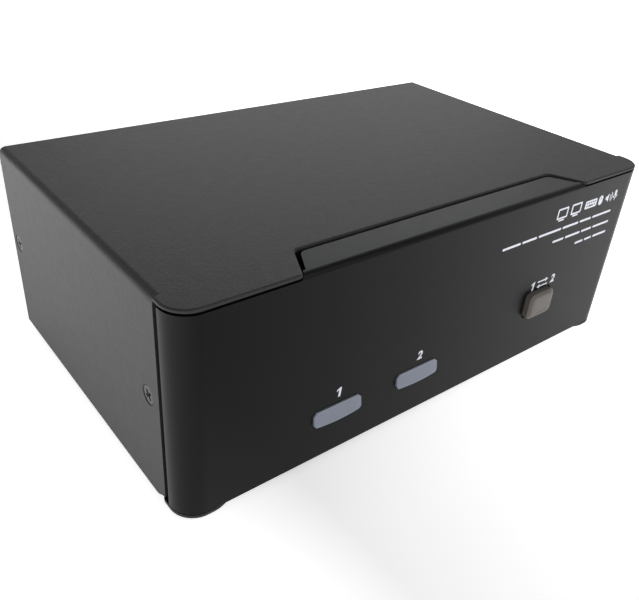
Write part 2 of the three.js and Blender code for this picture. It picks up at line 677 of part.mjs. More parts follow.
// Two round audio sockets, one over the other, in a single housing.
function audioPair(x) {
  const base = UPPER_BOARD_TOP + GAP;
  const inside = REAR - SHEET - GAP;
  const block = box([x - AUDIO.width / 2, x + AUDIO.width / 2], [inside - AUDIO.depth, inside],
    [base, base + AUDIO.height]);
  const rings = (radius, start, end) =>
    AUDIO.rise.map((rise) => alongY(disc(radius, x, base + rise), start, end, ROUND));
  const noses = rings(AUDIO.nose, inside - 1, REAR + 1.8);
  const bores = rings(AUDIO.bore, inside - 11, REAR + 3);
  return cut(join(block, ...noses), ...bores);
}

function powerJack(x) {
  const base = LOWER_BOARD_TOP + GAP;
  const face = REAR + 0.4;
  const z = base + POWER.height / 2;
  const xs = [x - POWER.width / 2, x + POWER.width / 2];
  const block = box(xs, [face - POWER.depth, face], [base, base + POWER.height]);
  const mouth = alongY(disc(POWER.bore, x, z), face - 9.5, face + 1, ROUND);
  const pin = alongY(disc(POWER.pin, x, z), face - 10.5, face - 1, ROUND);
  return block.subtract(mouth.subtract(pin));
}

// ---------------------------------------------------------------- assembly

const finish = (color, roughness, metalness = 0) => ({ color, roughness, metalness });
const FINISHES = {
  powderCoat: finish(0x27282a, 0.62, 0.1),
  bezelPlastic: finish(0x232425, 0.55),
  smokedLens: finish(0x8b93a5, 0.3),
  buttonPlastic: finish(0x7a736b, 0.4),
  rubber: finish(0x161616, 0.9),
  blackScrew: finish(0x1b1b1c, 0.45, 0.6),
  zincSteel: finish(0xb8bbbe, 0.35, 0.9),
  brass: finish(0xb59a55, 0.35, 0.9),
  board: finish(0x1f4a33, 0.6),
  blackPlastic: finish(0x141415, 0.6),
  ledPackage: finish(0xe8e6da, 0.4),
  ribbon: finish(0xc9c9c4, 0.6),
};

const assembly = new THREE.Group();

function place(name, manifold, kind) {
  const mesh = new THREE.Mesh(geometryOf(manifold), new THREE.MeshStandardMaterial(FINISHES[kind]));
  mesh.name = name;
  assembly.add(mesh);
}

place("top_cover", topCover(), "powderCoat");
place("base_pan", basePan(), "powderCoat");
place("rear_panel", rearPanel(), "powderCoat");
place("front_bezel", frontBezel(), "bezelPlastic");
FEET.forEach((at, i) => place(`foot_${i + 1}`, foot(at), "rubber"));
[[-1, 0], [-1, 1], [1, 0], [1, 1]].forEach(([sign, which], i) =>
  place(`cover_screw_${i + 1}`, coverScrew(sign, COVER_SCREW_Y[which]), "blackScrew"));
[-1, 1].forEach((sign, i) => {
  place(`bezel_screw_${i + 1}`, bezelScrew(sign), "zincSteel");
  place(`panel_screw_${i + 1}`, panelScrew(sign), "blackScrew");
});

place("select_button", selectButton(), "buttonPlastic");
place("switch_plunger", switchPlunger(), "ledPackage");
place("switch_body", switchBody(), "blackPlastic");
BAR.xs.forEach((x, i) => {
  place(`light_pipe_${i + 1}`, lightPipe(x), "smokedLens");
  place(`indicator_led_${i + 1}`, indicatorLed(x), "ledPackage");
});
place("front_board", frontBoard(), "board");
FRONT_POST_XS.forEach((x, i) => place(`front_board_screw_${i + 1}`, frontBoardScrew(x), "zincSteel"));

place("main_board", circuitBoard(LOWER_BOARD_TOP), "board");
place("video_board", circuitBoard(UPPER_BOARD_TOP), "board");
PILLARS.forEach((at, i) => {
  place(`lower_standoff_${i + 1}`, lowerStandoff(at), "brass");
  place(`upper_standoff_${i + 1}`, upperStandoff(at), "brass");
  place(`board_screw_${i + 1}`, boardScrew(at), "zincSteel");
});
place("board_stacker", boardStacker(), "blackPlastic");
place("switch_chip", chip(-40, 5, 14, 1.6), "blackPlastic");
place("hub_chip", chip(45, 0, 10, 1.4), "blackPlastic");
place("ribbon_header", ribbonHeader(), "blackPlastic");
place("ribbon_cable", ribbonCable(), "ribbon");

["console", "pc1", "pc2"].forEach((owner, i) => {
  place(`${owner}_dvi_socket`, videoConnector(DVI, VIDEO_XS[i]), "zincSteel");
  place(`${owner}_vga_socket`, videoConnector(VGA, VIDEO_XS[i]), "zincSteel");
  place(`${owner}_audio_sockets`, audioPair([CONSOLE_X, PC1_X, PC2_X][i]), "blackPlastic");
});
place("console_usb_sockets", usbAStack(CONSOLE_X, LOWER_BOARD_TOP + GAP), "zincSteel");
place("hub_usb_sockets", usbAStack(HUB_X, UPPER_BOARD_TOP + GAP), "zincSteel");
place("pc1_usb_socket", usbB(PC1_X, LOWER_BOARD_TOP + GAP), "zincSteel");
place("pc2_usb_socket", usbB(PC2_X, LOWER_BOARD_TOP + GAP), "zincSteel");
place("power_jack", powerJack(HUB_X), "blackPlastic");

export default assembly;
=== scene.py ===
import math

import bmesh
import bpy
from mathutils import Euler, Matrix, Vector


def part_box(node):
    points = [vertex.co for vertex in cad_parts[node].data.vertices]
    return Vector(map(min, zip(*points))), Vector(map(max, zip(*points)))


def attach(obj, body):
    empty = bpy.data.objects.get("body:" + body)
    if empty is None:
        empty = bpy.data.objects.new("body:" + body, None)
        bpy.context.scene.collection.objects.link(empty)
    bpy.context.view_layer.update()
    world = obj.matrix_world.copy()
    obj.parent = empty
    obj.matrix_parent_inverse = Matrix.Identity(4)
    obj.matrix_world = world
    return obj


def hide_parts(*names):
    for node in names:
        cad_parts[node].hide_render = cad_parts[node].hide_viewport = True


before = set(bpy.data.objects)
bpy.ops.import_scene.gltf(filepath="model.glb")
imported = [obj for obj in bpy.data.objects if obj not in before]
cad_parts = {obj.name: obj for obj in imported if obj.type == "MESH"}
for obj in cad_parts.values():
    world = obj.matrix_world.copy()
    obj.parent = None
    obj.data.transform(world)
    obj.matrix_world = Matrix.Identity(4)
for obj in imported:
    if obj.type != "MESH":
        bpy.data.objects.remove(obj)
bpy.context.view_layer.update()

# A two-computer desktop KVM switch. Shapes are drawn in millimetres and scaled to metres when they are
# finished. The CAD frame gives every place: +Z up, the front faces -Y, and the rear sockets face +Y.

# ---- sizes shared with the CAD model

SHEET = 1.0  # steel thickness
WALL = 2.5  # bezel plastic thickness
GAP = 0.3  # clearance between pieces that touch
BEND_RADIUS = 2.5  # cover's folded edges
CORNER_RADIUS = 8.0  # bezel's upright corners
SIDE_SETBACK = 10.6  # from the bezel's face to the cover's side walls
BEZEL_RETURN = 8.6  # from the bezel's face to the end of its wrapped sides
NOTCH = {"front": 62.5, "back": 56.5, "depth": 12.5, "radius": 2.0, "tip": 1.6}
TONGUE = {"gap": 1.2, "drop": 0.4, "radius": 2.0}
RIM = 0.7  # how far the cover's free edges are rounded down
RABBET = {"height": 0.5, "depth": 0.8}  # the shadow line in the bezel under the cover's front edge
EDGE_ANGLE, SMOOTH_ANGLE = 32, 35  # in degrees: what is rounded off, and what is shaded as one surface


class Place:
    """Where a CAD node is at rest, in millimetres."""

    def __init__(self, node):
        low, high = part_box(node)
        self.low = self.x0, self.y0, self.z0 = tuple(1000 * v for v in low)
        self.high = self.x1, self.y1, self.z1 = tuple(1000 * v for v in high)
        self.middle = self.x, self.y, self.z = tuple((a + b) * 500 for a, b in zip(low, high))
        self.width, self.depth, self.height = (b - a for a, b in zip(self.low, self.high))

    def end(self, direction):
        """The middle of the face of its box that a unit vector points at."""
        faces = zip(direction, self.low, self.middle, self.high)
        return tuple(high if d > 0 else low if d < 0 else middle for d, low, middle, high in faces)


def places(stem, count):
    """The places of nodes that are numbered from 1."""
    return [Place(f"{stem}_{i}") for i in range(1, count + 1)]


COVER = Place("top_cover")
BEZEL = Place("front_bezel")
PANEL = Place("rear_panel")
SIDE = COVER.x1
FRONT = BEZEL.y0
REAR = PANEL.y1
ROOF = COVER.z1
FLOOR = COVER.z0
BUTTON = Place("select_button")
BARS = places("light_pipe", 2)
COVER_SCREWS = places("cover_screw", 4)

UP, DOWN, OUT = (0, 0, 1), (0, 0, -1), (0, 1, 0)  # OUT is towards the rear, where the plugs come from

# ---- outlines, in millimetres


def arc(a, b, radius, start, end, steps):
    """Points along an arc, with its angles in degrees."""
    angles = [math.radians(start + (end - start) * i / steps) for i in range(steps + 1)]
    return [(a + radius * math.cos(t), b + radius * math.sin(t)) for t in angles]


def circle(radius, a, b, steps=32):
    return arc(a, b, radius, 0, 360, steps)[:-1]


def rounded(width, height, radius, a=0.0, b=0.0, steps=5):
    """A rectangle with round corners, about a centre."""
    w, h = width / 2 - radius, height / 2 - radius
    corners = [(w, h, 0), (-w, h, 90), (-w, -h, 180), (w, -h, 270)]
    return [p for u, v, start in corners for p in arc(a + u, b + v, radius, start, start + 90, steps)]


def chamfered(width, height, chamfer, a, b):
    """A rectangle with its corners cut off, about a centre."""
    w, h, c = width / 2, height / 2, chamfer
    right = [(w, -h + c), (w, h - c), (w - c, h)]
    points = right + [(-u, v) for u, v in reversed(right)] + [(-w + c, -h), (w - c, -h)]
    return [(a + u, b + v) for u, v in points]


def softened(points, distance, steps=5):
    """A polygon whose corners are rounded, each curve starting a set distance before its corner."""
    corners = [Vector(p) for p in points]
    outline = []
    for i, corner in enumerate(corners):
        before = (corners[i - 1] - corner).normalized() * distance
        after = (corners[(i + 1) % len(corners)] - corner).normalized() * distance
        for k in range(steps + 1):
            t = k / steps
            outline.append(tuple(corner + before * (1 - t) ** 2 + after * t**2))
    return outline


def d_shape(width, height, grow, a, b):
    """The outline of a video connector: wider at the top than at the bottom."""
    top = width / 2 + grow
    bottom = width / 2 - height * 0.18 + grow
    h = height / 2 + grow
    return softened([(a - top, b + h), (a - bottom, b - h), (a + bottom, b - h), (a + top, b + h)], 1.8)


def hexagon(across_flats, a, b):
    return [(a + u, b + v) for u, v in arc(0, 0, across_flats / math.sqrt(3), 0, 300, 5)]


def mirrored(right):
    """Closes an outline drawn from bottom to top on the right with its mirror image on the left."""
    return right + [(-u, v) for u, v in reversed(right)]


# ---- solids

AXES = {
    "X": lambda a, b, c: (c, a, b),
    "Y": lambda a, b, c: (a, c, b),
    "Z": lambda a, b, c: (a, b, c),
}


def linked(name, data):
    """A new object in the scene."""
    made = bpy.data.objects.new(name, data)
    bpy.context.scene.collection.objects.link(made)
    return made


def evaluated(made):
    """A mesh of what an object looks like with its modifiers on."""
    bpy.context.view_layer.update()
    return bpy.data.meshes.new_from_object(made.evaluated_get(bpy.context.evaluated_depsgraph_get()))


def solid(points, faces):
    """A temporary closed object from its corners and faces."""
    mesh = bpy.data.meshes.new("solid")
    mesh.from_pydata(points, [], faces)
    bm = bmesh.new()
    bm.from_mesh(mesh)
    bmesh.ops.recalc_face_normals(bm, faces=bm.faces)
    bm.to_mesh(mesh)
    bm.free()
    return linked("solid", mesh)


def loft(rings):
    """A closed skin over rings that all have the same number of points, with its ends capped."""
    count = len(rings[0])
    points = [p for ring in rings for p in ring]
    faces = [list(range(count)), [len(points) - 1 - i for i in range(count)]]
    for r in range(len(rings) - 1):
        for i in range(count):
            j = (i + 1) % count
            faces.append([r * count + i, r * count + j, (r + 1) * count + j, (r + 1) * count + i])
    return solid(points, faces)


def prism(axis, outline, low, high):
    """An outline in the other two axes, drawn out along one axis."""
    place = AXES[axis]
    return loft([[place(a, b, c) for a, b in outline] for c in (low, high)])


def block(xs, ys, zs):
    (x0, x1), (y0, y1), (z0, z1) = xs, ys, zs
    return prism("Z", [(x0, y0), (x1, y0), (x1, y1), (x0, y1)], z0, z1)


def slab(width, height, radius, x, z, low, high, steps=5):
    """A block with round corners, drawn out along Y."""
    return prism("Y", rounded(width, height, radius, x, z, steps), low, high)


def placed(made, centre, direction):
    """Turns a solid drawn along +Z to a direction, and moves it to its place."""
    turn = Vector(UP).rotation_difference(Vector(direction)).to_matrix().to_4x4()
    made.data.transform(Matrix.Translation(Vector(centre)) @ turn)
    return made


def turned(profile, centre=(0, 0, 0), direction=UP, steps=40):
    """A lathe shape, from (radius, height) points that start and end on the axis, or at one point."""
    points, rings = [], []
    closed = profile[0] == profile[-1]
    for radius, height in profile[:-1] if closed else profile:
        count = steps if radius > 0 else 1
        ring = []
        for i in range(count):
            angle = 2 * math.pi * i / steps
            ring.append(len(points))
            points.append((radius * math.cos(angle), radius * math.sin(angle), height))
        rings.append(ring)
    if closed:
        rings.append(rings[0])
    faces = []
    for low, high in zip(rings, rings[1:]):
        for i in range(steps):
            j = (i + 1) % steps
            corners = [low[i % len(low)], low[j % len(low)], high[j % len(high)], high[i % len(high)]]
            unique = list(dict.fromkeys(corners))
            if len(unique) > 2:
                faces.append(unique)
    return placed(solid(points, faces), centre, direction)


def rod(radius, start, end, centre, direction, steps=24):
    """A plain round bar or hole between two distances along a direction."""
    return turned([(0, start), (radius, start), (radius, end), (0, end)], centre, direction, steps)


def settle(made):
    """Turns an object's modifiers into its mesh."""
    mesh = evaluated(made)
    made.modifiers.clear()
    made.data = mesh


def boolean(operation, base, tools):
    for tool in tools:
        modifier = base.modifiers.new("boolean", "BOOLEAN")
        modifier.operation = operation
        modifier.solver = "MANIFOLD"
        modifier.object = tool
    settle(base)
    for tool in tools:
        bpy.data.objects.remove(tool)
    return base


def cut(base, *tools):
    return boolean("DIFFERENCE", base, tools)


def join(base, *others):
    return boolean("UNION", base, others)


def overlap(base, tool):
    return boolean("INTERSECT", base, [tool])


def gathered(parts):
    """Several separate solids as one object."""
    bm = bmesh.new()
    for part in parts:
        bm.from_mesh(part.data)
    first = parts[0]
    bm.to_mesh(first.data)
    bm.free()
    for part in parts[1:]:
        bpy.data.objects.remove(part)
    return first


def clean(made):
    """Merges doubled corners, and faces that lie in one plane."""
    bm = bmesh.new()
    bm.from_mesh(made.data)
    bmesh.ops.remove_doubles(bm, verts=bm.verts, dist=1e-4)
    bmesh.ops.dissolve_limit(bm, angle_limit=math.radians(0.2), verts=bm.verts, edges=bm.edges)
    bm.to_mesh(made.data)
    bm.free()


def flat_areas(bm):
    """For each face, the area of the flat ground that it is part of."""
    group = list(range(len(bm.faces)))

    def root(i):
        while group[i] != i:
            i = group[i]
        return i

    for edge in bm.edges:
        if len(edge.link_faces) == 2 and edge.calc_face_angle(1.0) < 0.003:
            first, second = (root(face.index) for face in edge.link_faces)
            group[first] = second
    total = {}
    for face in bm.faces:
        key = root(face.index)
        total[key] = total.get(key, 0.0) + face.calc_area()
    return [total[root(face.index)] for face in bm.faces]


def shade(made):
    """Smooth shading across shallow edges, where a corner leans on the widest flat ground round it."""
    bm = bmesh.new()
    bm.from_mesh(made.data)
    areas = flat_areas(bm)
    limit = math.cos(math.radians(SMOOTH_ANGLE))
    normals = []
    for face in bm.faces:
        for corner in face.loops:
            total = Vector()
            for other in corner.vert.link_faces:
                if other.normal.dot(face.normal) > limit:
                    total += other.normal * areas[other.index]
            normals.append(total.normalized() if total.length > 0 else face.normal.copy())
    bm.free()
    made.data.shade_smooth()
    made.data.normals_split_custom_set(normals)


def add_bevel(made, width, steps):
    bevel = made.modifiers.new("edges", "BEVEL")
    bevel.width = width
    bevel.segments = steps
    bevel.limit_method = "ANGLE"
    bevel.angle_limit = math.radians(EDGE_ANGLE)
    return bevel


def finished(name, made, slot, node=None, edge=0.15, steps=2, body="chassis", material=None):
    """A piece of the object, in metres, riding on its body and standing for its CAD node."""
    clean(made)
    if edge:
        add_bevel(made, edge, steps)
        settle(made)
    shade(made)
    made.data.transform(Matrix.Scale(0.001, 4))
    made.name = made.data.name = name
    made.data.materials.clear()
    made.data.materials.append(MATERIAL[material or slot])
    for polygon in made.data.polygons:
        polygon.material_index = 0
    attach(made, body)
    if node:
        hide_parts(node)

# ---- materials


def new_node(tree, kind, **inputs):
    """A shader node, with its inputs linked or set by name."""
    made = tree.nodes.new("ShaderNode" + kind)
    for name, value in inputs.items():
        socket = made.inputs[name.replace("_", " ")]
        if isinstance(value, bpy.types.NodeSocket):
            tree.links.new(value, socket)
        else:
            socket.default_value = value
    return made


class Surface:
    """A procedural material. Noise is in object space, in waves to the metre."""

    def __init__(self, name, color, roughness, metallic=0.0, ior=1.5):
        self.material = bpy.data.materials.new(name)
        self.material.use_nodes = True
        self.material.diffuse_color = (*color, 1)
        self.tree = self.material.node_tree
        self.tree.nodes.clear()
        looks = dict(Base_Color=(*color, 1), Roughness=roughness, Metallic=metallic, IOR=ior)
        self.shader = self.node("BsdfPrincipled", **looks)
        self.node("OutputMaterial", Surface=self.shader.outputs["BSDF"])
        self.color = color
        self.paint = None
        self.height = None
        self.place = self.node("TexCoord").outputs["Object"]

    def link(self, output, socket):
        self.tree.links.new(output, socket)

    def set(self, socket, value):
        self.shader.inputs[socket].default_value = value

    def node(self, kind, **inputs):
        return new_node(self.tree, kind, **inputs)

    def computed(self, kind, operation, *values):
        """The result of a math node."""
        made = self.node(kind)
        made.operation = operation
        for value, socket in zip(values, made.inputs):
            self.link(value, socket)
        return made.outputs["Value"]

    def stretched(self, scale):
        """Object space squeezed along its axes, for grain that runs one way."""
        return self.node("Mapping", Vector=self.place, Scale=scale).outputs["Vector"]

    def noise(self, scale, detail, place=None):
        made = self.node("TexNoise", Vector=place or self.place, Scale=scale, Detail=detail)
        return made.outputs["Fac"]

    def ranged(self, value, low, high, start=0.3, end=0.7):
        """A 0 to 1 value spread between two numbers, with its middle stretched."""
        made = self.node("MapRange", Value=value)
        for i, number in enumerate((start, end, low, high), 1):
            made.inputs[i].default_value = number
        return made.outputs["Result"]

    def tint(self, mask, color):
        """Mixes a colour in where the mask is 1."""
        mix = self.node("Mix")
        mix.data_type = "RGBA"
        self.link(mask, mix.inputs["Factor"])
        under, over, result = mix.inputs[6], mix.inputs[7], mix.outputs[2]  # the node's colour sockets
        under.default_value = (*self.color, 1)
        if self.paint is not None:
            self.link(self.paint, under)
        over.default_value = (*color, 1)
        self.paint = result
        self.link(result, self.shader.inputs["Base Color"])

    def mottle(self, scale, color, share):
        """Colour that drifts towards another in soft patches."""
        self.tint(self.ranged(self.noise(scale, 3.0), 0.0, share), color)

    def flecks(self, scale, color, start, share):
        """Small sparse specks of another colour."""
        self.tint(self.ranged(self.noise(scale, 1.0), 0.0, share, start, start + 0.06), color)

    def uneven(self, scale, low, high):
        """Roughness that varies between two values."""
        self.link(self.ranged(self.noise(scale, 3.0), low, high), self.shader.inputs["Roughness"])

    def bump(self, height, distance):
        """Raises the surface by a 0 to 1 height times a distance in metres."""
        made = self.node("Bump", Height=height, Distance=distance)
        if self.height is not None:
            self.link(self.height, made.inputs["Normal"])
        self.height = made.outputs["Normal"]
        self.link(self.height, self.shader.inputs["Normal"])

    def grain(self, scale, distance, detail, place=None):
        self.bump(self.noise(scale, detail, place), distance)

    def above(self, height, fade):
        """1 at a height and over it, and 0 a short way below."""
        split = self.node("SeparateXYZ", Vector=self.place)
        return self.ranged(split.outputs["Z"], 0.0, 1.0, height - fade, height)

    def edge_mask(self, radius, start, end):
        """1 on edges sharper than the radius, and 0 on flat ground."""
        sharp = self.node("Bevel", Radius=radius).outputs["Normal"]
        flat = self.node("NewGeometry").outputs["True Normal"]
        return self.ranged(self.computed("VectorMath", "DOT_PRODUCT", sharp, flat), 1.0, 0.0, start, end)


def powder_coat(name, color, roughness, ior):
    """Black baked powder: a shallow orange peel, with a fine grain on it."""
    coat = Surface(name, color, roughness, ior=ior)
    coat.mottle(90, tuple(1.08 * c for c in color), 0.6)
    coat.flecks(2600, tuple(2.6 * c for c in color), 0.6, 0.5)
    coat.uneven(260, roughness - 0.015, roughness + 0.015)
    coat.grain(950, 0.00005, 1.0)
    coat.grain(3400, 0.00002, 2.0)
    return coat


def moulded(name, color, roughness, grain=0.000012, scale=2400, ior=1.45):
    """Moulded plastic with a spark-eroded texture."""
    plastic = Surface(name, color, roughness, ior=ior)
    plastic.mottle(60, tuple(1.15 * c for c in color), 0.6)
    plastic.uneven(320, roughness - 0.02, roughness + 0.02)
    plastic.grain(scale, grain, 2.0)
    return plastic


def plated(name, color, roughness, brushed=(900, 900, 90), metallic=1.0):
    """Bright plating over sheet metal, with faint rolling marks."""
    metal = Surface(name, color, roughness, metallic=metallic)
    metal.mottle(220, tuple(0.8 * c for c in color), 0.6)
    metal.uneven(700, roughness - 0.06, roughness + 0.1)
    metal.grain(1.0, 0.000004, 2.0, metal.stretched(brushed))
    return metal


def circuit_board():
    """Green solder mask over copper, with a ghost of straight traces and tinned pads."""
    mask = Surface("solder_mask", (0.012, 0.07, 0.035), 0.4)
    for scale, color in (((260, 90, 1), (0.02, 0.12, 0.055)), ((90, 300, 1), (0.016, 0.1, 0.05))):
        brick = mask.node("TexBrick", Vector=mask.stretched(scale), Scale=1.0)
        brick.inputs["Mortar Size"].default_value = 0.08
        mask.tint(brick.outputs["Fac"], color)
        mask.bump(brick.outputs["Fac"], 0.00003)
    dots = mask.node("TexVoronoi", Vector=mask.place, Scale=420.0)
    pads = mask.ranged(dots.outputs["Distance"], 1.0, 0.0, 0.1, 0.16)
    mask.tint(pads, (0.45, 0.44, 0.4))
    mask.uneven(300, 0.32, 0.5)
    return mask


MOULDED = {  # slot: name, colour, roughness, depth of grain
    "smoked_lens": ("lens_smoked", (0.185, 0.205, 0.255), 0.4, 0.000004),
    "button_plastic": ("button_satin", (0.095, 0.086, 0.075), 0.46, 0.00001),
    "foot_rubber": ("rubber_feet", (0.014, 0.014, 0.014), 0.8, 0.00004, 1500),
    "insulator_white": ("insulator_white_nylon", (0.66, 0.65, 0.6), 0.45, 0.00001),
    "insulator_blue": ("insulator_blue_nylon", (0.015, 0.07, 0.36), 0.42, 0.00001),
    "ring_pink": ("ring_pink_nylon", (0.7, 0.17, 0.26), 0.42, 0.00001),
    "ring_green": ("ring_green_nylon", (0.16, 0.46, 0.1), 0.42, 0.00001),
    "black_plastic": ("black_nylon", (0.013, 0.013, 0.014), 0.5, 0.00002),
    "lamp": ("lamp_resin", (0.75, 0.72, 0.62), 0.35, 0.000005),
    "ribbon": ("ribbon_pvc", (0.5, 0.5, 0.47), 0.45),
    "legend_ink": ("legend_ink", (0.62, 0.63, 0.69), 0.5, 0.000004),
}
PLATED = {  # slot: name, colour, roughness, stretch of the rolling marks, how metallic
    "black_screw": ("screw_black_zinc", (0.05, 0.05, 0.055), 0.36, (1500, 1500, 1500)),
    "zinc_steel": ("nickel_plate", (0.66, 0.66, 0.65), 0.4, (900, 900, 90), 0.72),
    "brass": ("brass_turned", (0.6, 0.44, 0.19), 0.26, (600, 600, 2500)),
    "gold_contact": ("gold_flash", (0.8, 0.58, 0.24), 0.22),
}


def make_materials():
    """A material for each slot, and for the nodes that stay as they were machined."""
    cover = powder_coat("cover_powder", (0.02, 0.0205, 0.021), 0.48, 1.3)
    # Painted shade: the edges and rims of every piece in this finish are darkened, standing in for the
    # shadow along the cover's front edge.
    cover.tint(cover.edge_mask(0.0007, 0.7, 0.98), (0.008, 0.008, 0.0085))
    pan = powder_coat("pan_powder", (0.018, 0.0185, 0.019), 0.48, 1.3)
    bezel = moulded("bezel_abs", (0.0028, 0.0028, 0.003), 0.32, ior=1.2)
    # Painted sheen: the tongue's top is made lighter and bluer than the rest of the bezel, in place of the
    # light its glossier surface reflects.
    bezel.tint(bezel.above(0.001 * (ROOF - TONGUE["drop"]), 0.0004), (0.012, 0.0135, 0.0145))
    made = {slot: moulded(*recipe) for slot, recipe in MOULDED.items()}
    made.update((slot, plated(*recipe)) for slot, recipe in PLATED.items())
    made.update(cover_steel=cover, pan_steel=pan, bezel_plastic=bezel, board=circuit_board())
    lens, ribbon = made["smoked_lens"], made["ribbon"]
    lens.set("Subsurface Weight", 0.25)
    lens.set("Subsurface Scale", 0.002)
    lens.set("Subsurface Radius", (0.8, 0.9, 1.0))
    made["foot_rubber"].mottle(400, (0.03, 0.03, 0.03), 0.5)
    waves = ribbon.node("TexWave", Vector=ribbon.place, Scale=250.0)
    ribbon.bump(waves.outputs["Fac"], 0.0002)
    return {slot: surface.material for slot, surface in made.items()}


MATERIAL = make_materials()

# ---- the case


STEPS = [i / 8 for i in range(9)]  # along a soft corner, from 0 to 1


def front_plan(back, inset=0.0):
    """Plan of everything between the front face and a rear limit, with two rounded front corners."""
    radius = CORNER_RADIUS - inset
    right = arc(SIDE - inset - radius, FRONT + CORNER_RADIUS, radius, -90, 0, 16)
    return mirrored(right + [(SIDE - inset, back)])


def notch_plan(gap):
    """The trapezoid cut into the cover's front edge, or with a gap, the tongue that fills it."""
    tip = Vector((NOTCH["front"] - gap, FRONT))
    corner = Vector((NOTCH["back"] - gap, FRONT + NOTCH["depth"] - gap))
    slant, across = (corner - tip).normalized(), Vector((1, 0))
    flare = [tip + across * NOTCH["tip"] * (1 - t) ** 2 + slant * NOTCH["tip"] * t**2 for t in STEPS]
    bend = NOTCH["radius"]
    turn = [corner - slant * bend * (1 - t) ** 2 - across * bend * t**2 for t in STEPS]
    lead = (flare[0].x, FRONT - 5)
    return mirrored([lead] + [tuple(p) for p in flare + turn])


def countersink(screw, side):
    """The dimple round a side screw, wide at the outside."""
    profile = [(0, 0.1), (3.4, 0.1), (3.15, -0.1), (2.2, -SHEET - 0.1), (0, -SHEET - 0.1)]
    return turned(profile, (side * SIDE, screw.y, screw.z), (side, 0, 0), 48)


def top_cover():
    inner, near, bend = SIDE - SHEET, SIDE - BEND_RADIUS, ROOF - BEND_RADIUS
    outside = [(SIDE, FLOOR)] + arc(near, bend, BEND_RADIUS, 0, 90, 12)
    inside = [(inner, FLOOR)] + arc(near, bend, BEND_RADIUS - SHEET, 0, 90, 12)
    section = mirrored(outside) + mirrored(inside)[::-1]
    side_front = FRONT + SIDE_SETBACK
    folded = prism("Y", section, side_front, REAR)
    rim = [(RIM - u, ROOF - RIM + v) for u, v in arc(0, 0, RIM, 0, 90, 6)]  # inset, height
    apron_rings = [(0, ROOF - SHEET)] + rim
    apron = loft([[(x, y, z) for x, y in front_plan(side_front, inset)] for inset, z in apron_rings])
    notch_rings = [(0, ROOF - 2 * SHEET)] + rim + [(RIM, ROOF + SHEET)]
    notch = loft([[(x, y, z) for x, y in notch_plan(-inset)] for inset, z in notch_rings])
    clip = [(-1, 2.9), (-1, -1), (6, -1), (5, 0.0), (3.9, 0.4), (2.8, 1.1), (1.7, 1.75), (0.6, 2.2)]
    clipped = prism("X", [(side_front + y, FLOOR + z) for y, z in clip], -SIDE - 1, SIDE + 1)
    dimples = [countersink(screw, math.copysign(1, screw.x)) for screw in COVER_SCREWS]
    sheet = cut(join(folded, apron), notch, clipped, *dimples)
    finished("cover_sheet", sheet, "cover_steel", "top_cover")


def front_bezel():
    low, high = BEZEL.z0, ROOF - SHEET - GAP
    back = FRONT + BEZEL_RETURN
    tongue_top = ROOF - TONGUE["drop"]
    radius = TONGUE["radius"]
    shell = prism("Z", front_plan(back), low, high)
    hollow = prism("Z", front_plan(back + 1, WALL), low + WALL, high - WALL)
    reach = NOTCH["front"] - GAP
    wall_zone = ((-SIDE, SIDE), (FRONT, FRONT + WALL))
    shadow_line = cut(prism("Z", front_plan(back + 1), high - RABBET["height"], high + 1),
                      prism("Z", front_plan(back + 2, RABBET["depth"]), high - 2, high + 2),
                      block((-reach, reach), (FRONT - 10, FRONT + 5), (high - 2, high + 2)))
    tongue = prism("Z", notch_plan(TONGUE["gap"]), high - WALL, tongue_top)
    tongue_foot = overlap(prism("Z", notch_plan(GAP), high - WALL, tongue_top),
                          block(*wall_zone, (high - 2 * WALL, ROOF + 1)))
    edge = [(FRONT - 10, ROOF + 1), (FRONT - 10, tongue_top - 5), (FRONT, tongue_top - 5)]
    edge += arc(FRONT + radius, tongue_top - radius, radius, 180, 90, 10) + [(FRONT + radius, ROOF + 1)]
    flare = reach + NOTCH["tip"]
    tongue_front = prism("X", edge, -flare, flare)
    moat = cut(prism("Z", notch_plan(-GAP), high - WALL - 1, ROOF + 1),
               prism("Z", notch_plan(TONGUE["gap"]), high - WALL - 2, ROOF + 2),
               block((-SIDE, SIDE), (FRONT - 10, FRONT + WALL), (high - WALL - 2, ROOF + 2)))
    skirt_zs = (FLOOR + 3, ROOF - 4)
    skirt_ys = (back - WALL, BEZEL.y1)
    skirts = [block(sorted((s * (SIDE - 4.2), s * (SIDE - 2))), skirt_ys, skirt_zs) for s in (-1, 1)]
    shell = cut(join(cut(shell, hollow, shadow_line), tongue, tongue_foot), tongue_front, moat)
    through = (FRONT - 1, FRONT + WALL + 1)
    openings = [prism("Y", rounded(BUTTON_CAP["width"] + 0.9, BUTTON_CAP["height"] + 0.9,
                                   BUTTON_CAP["radius"] + 0.3, BUTTON.x, BUTTON.z, 8), *through)]
    for bar in BARS:
        window = chamfered(LENS["width"] + 0.3, LENS["height"] + 0.3, LENS["chamfer"], bar.x, bar.z)
        openings.append(prism("Y", window, *through))
    finished("bezel_shell", cut(join(shell, *skirts), *openings), "bezel_plastic",
             "front_bezel", edge=0.2, steps=3)


BUTTON_CAP = {"width": BUTTON.width - 3, "height": BUTTON.height - 3, "radius": 1.8}
LENS = {"width": BARS[0].width - 2.4, "height": BARS[0].height - 2.4, "chamfer": 1.15,
        "stand": FRONT - BARS[0].y0, "end_stand": 1.05, "top_stand": 0.35}


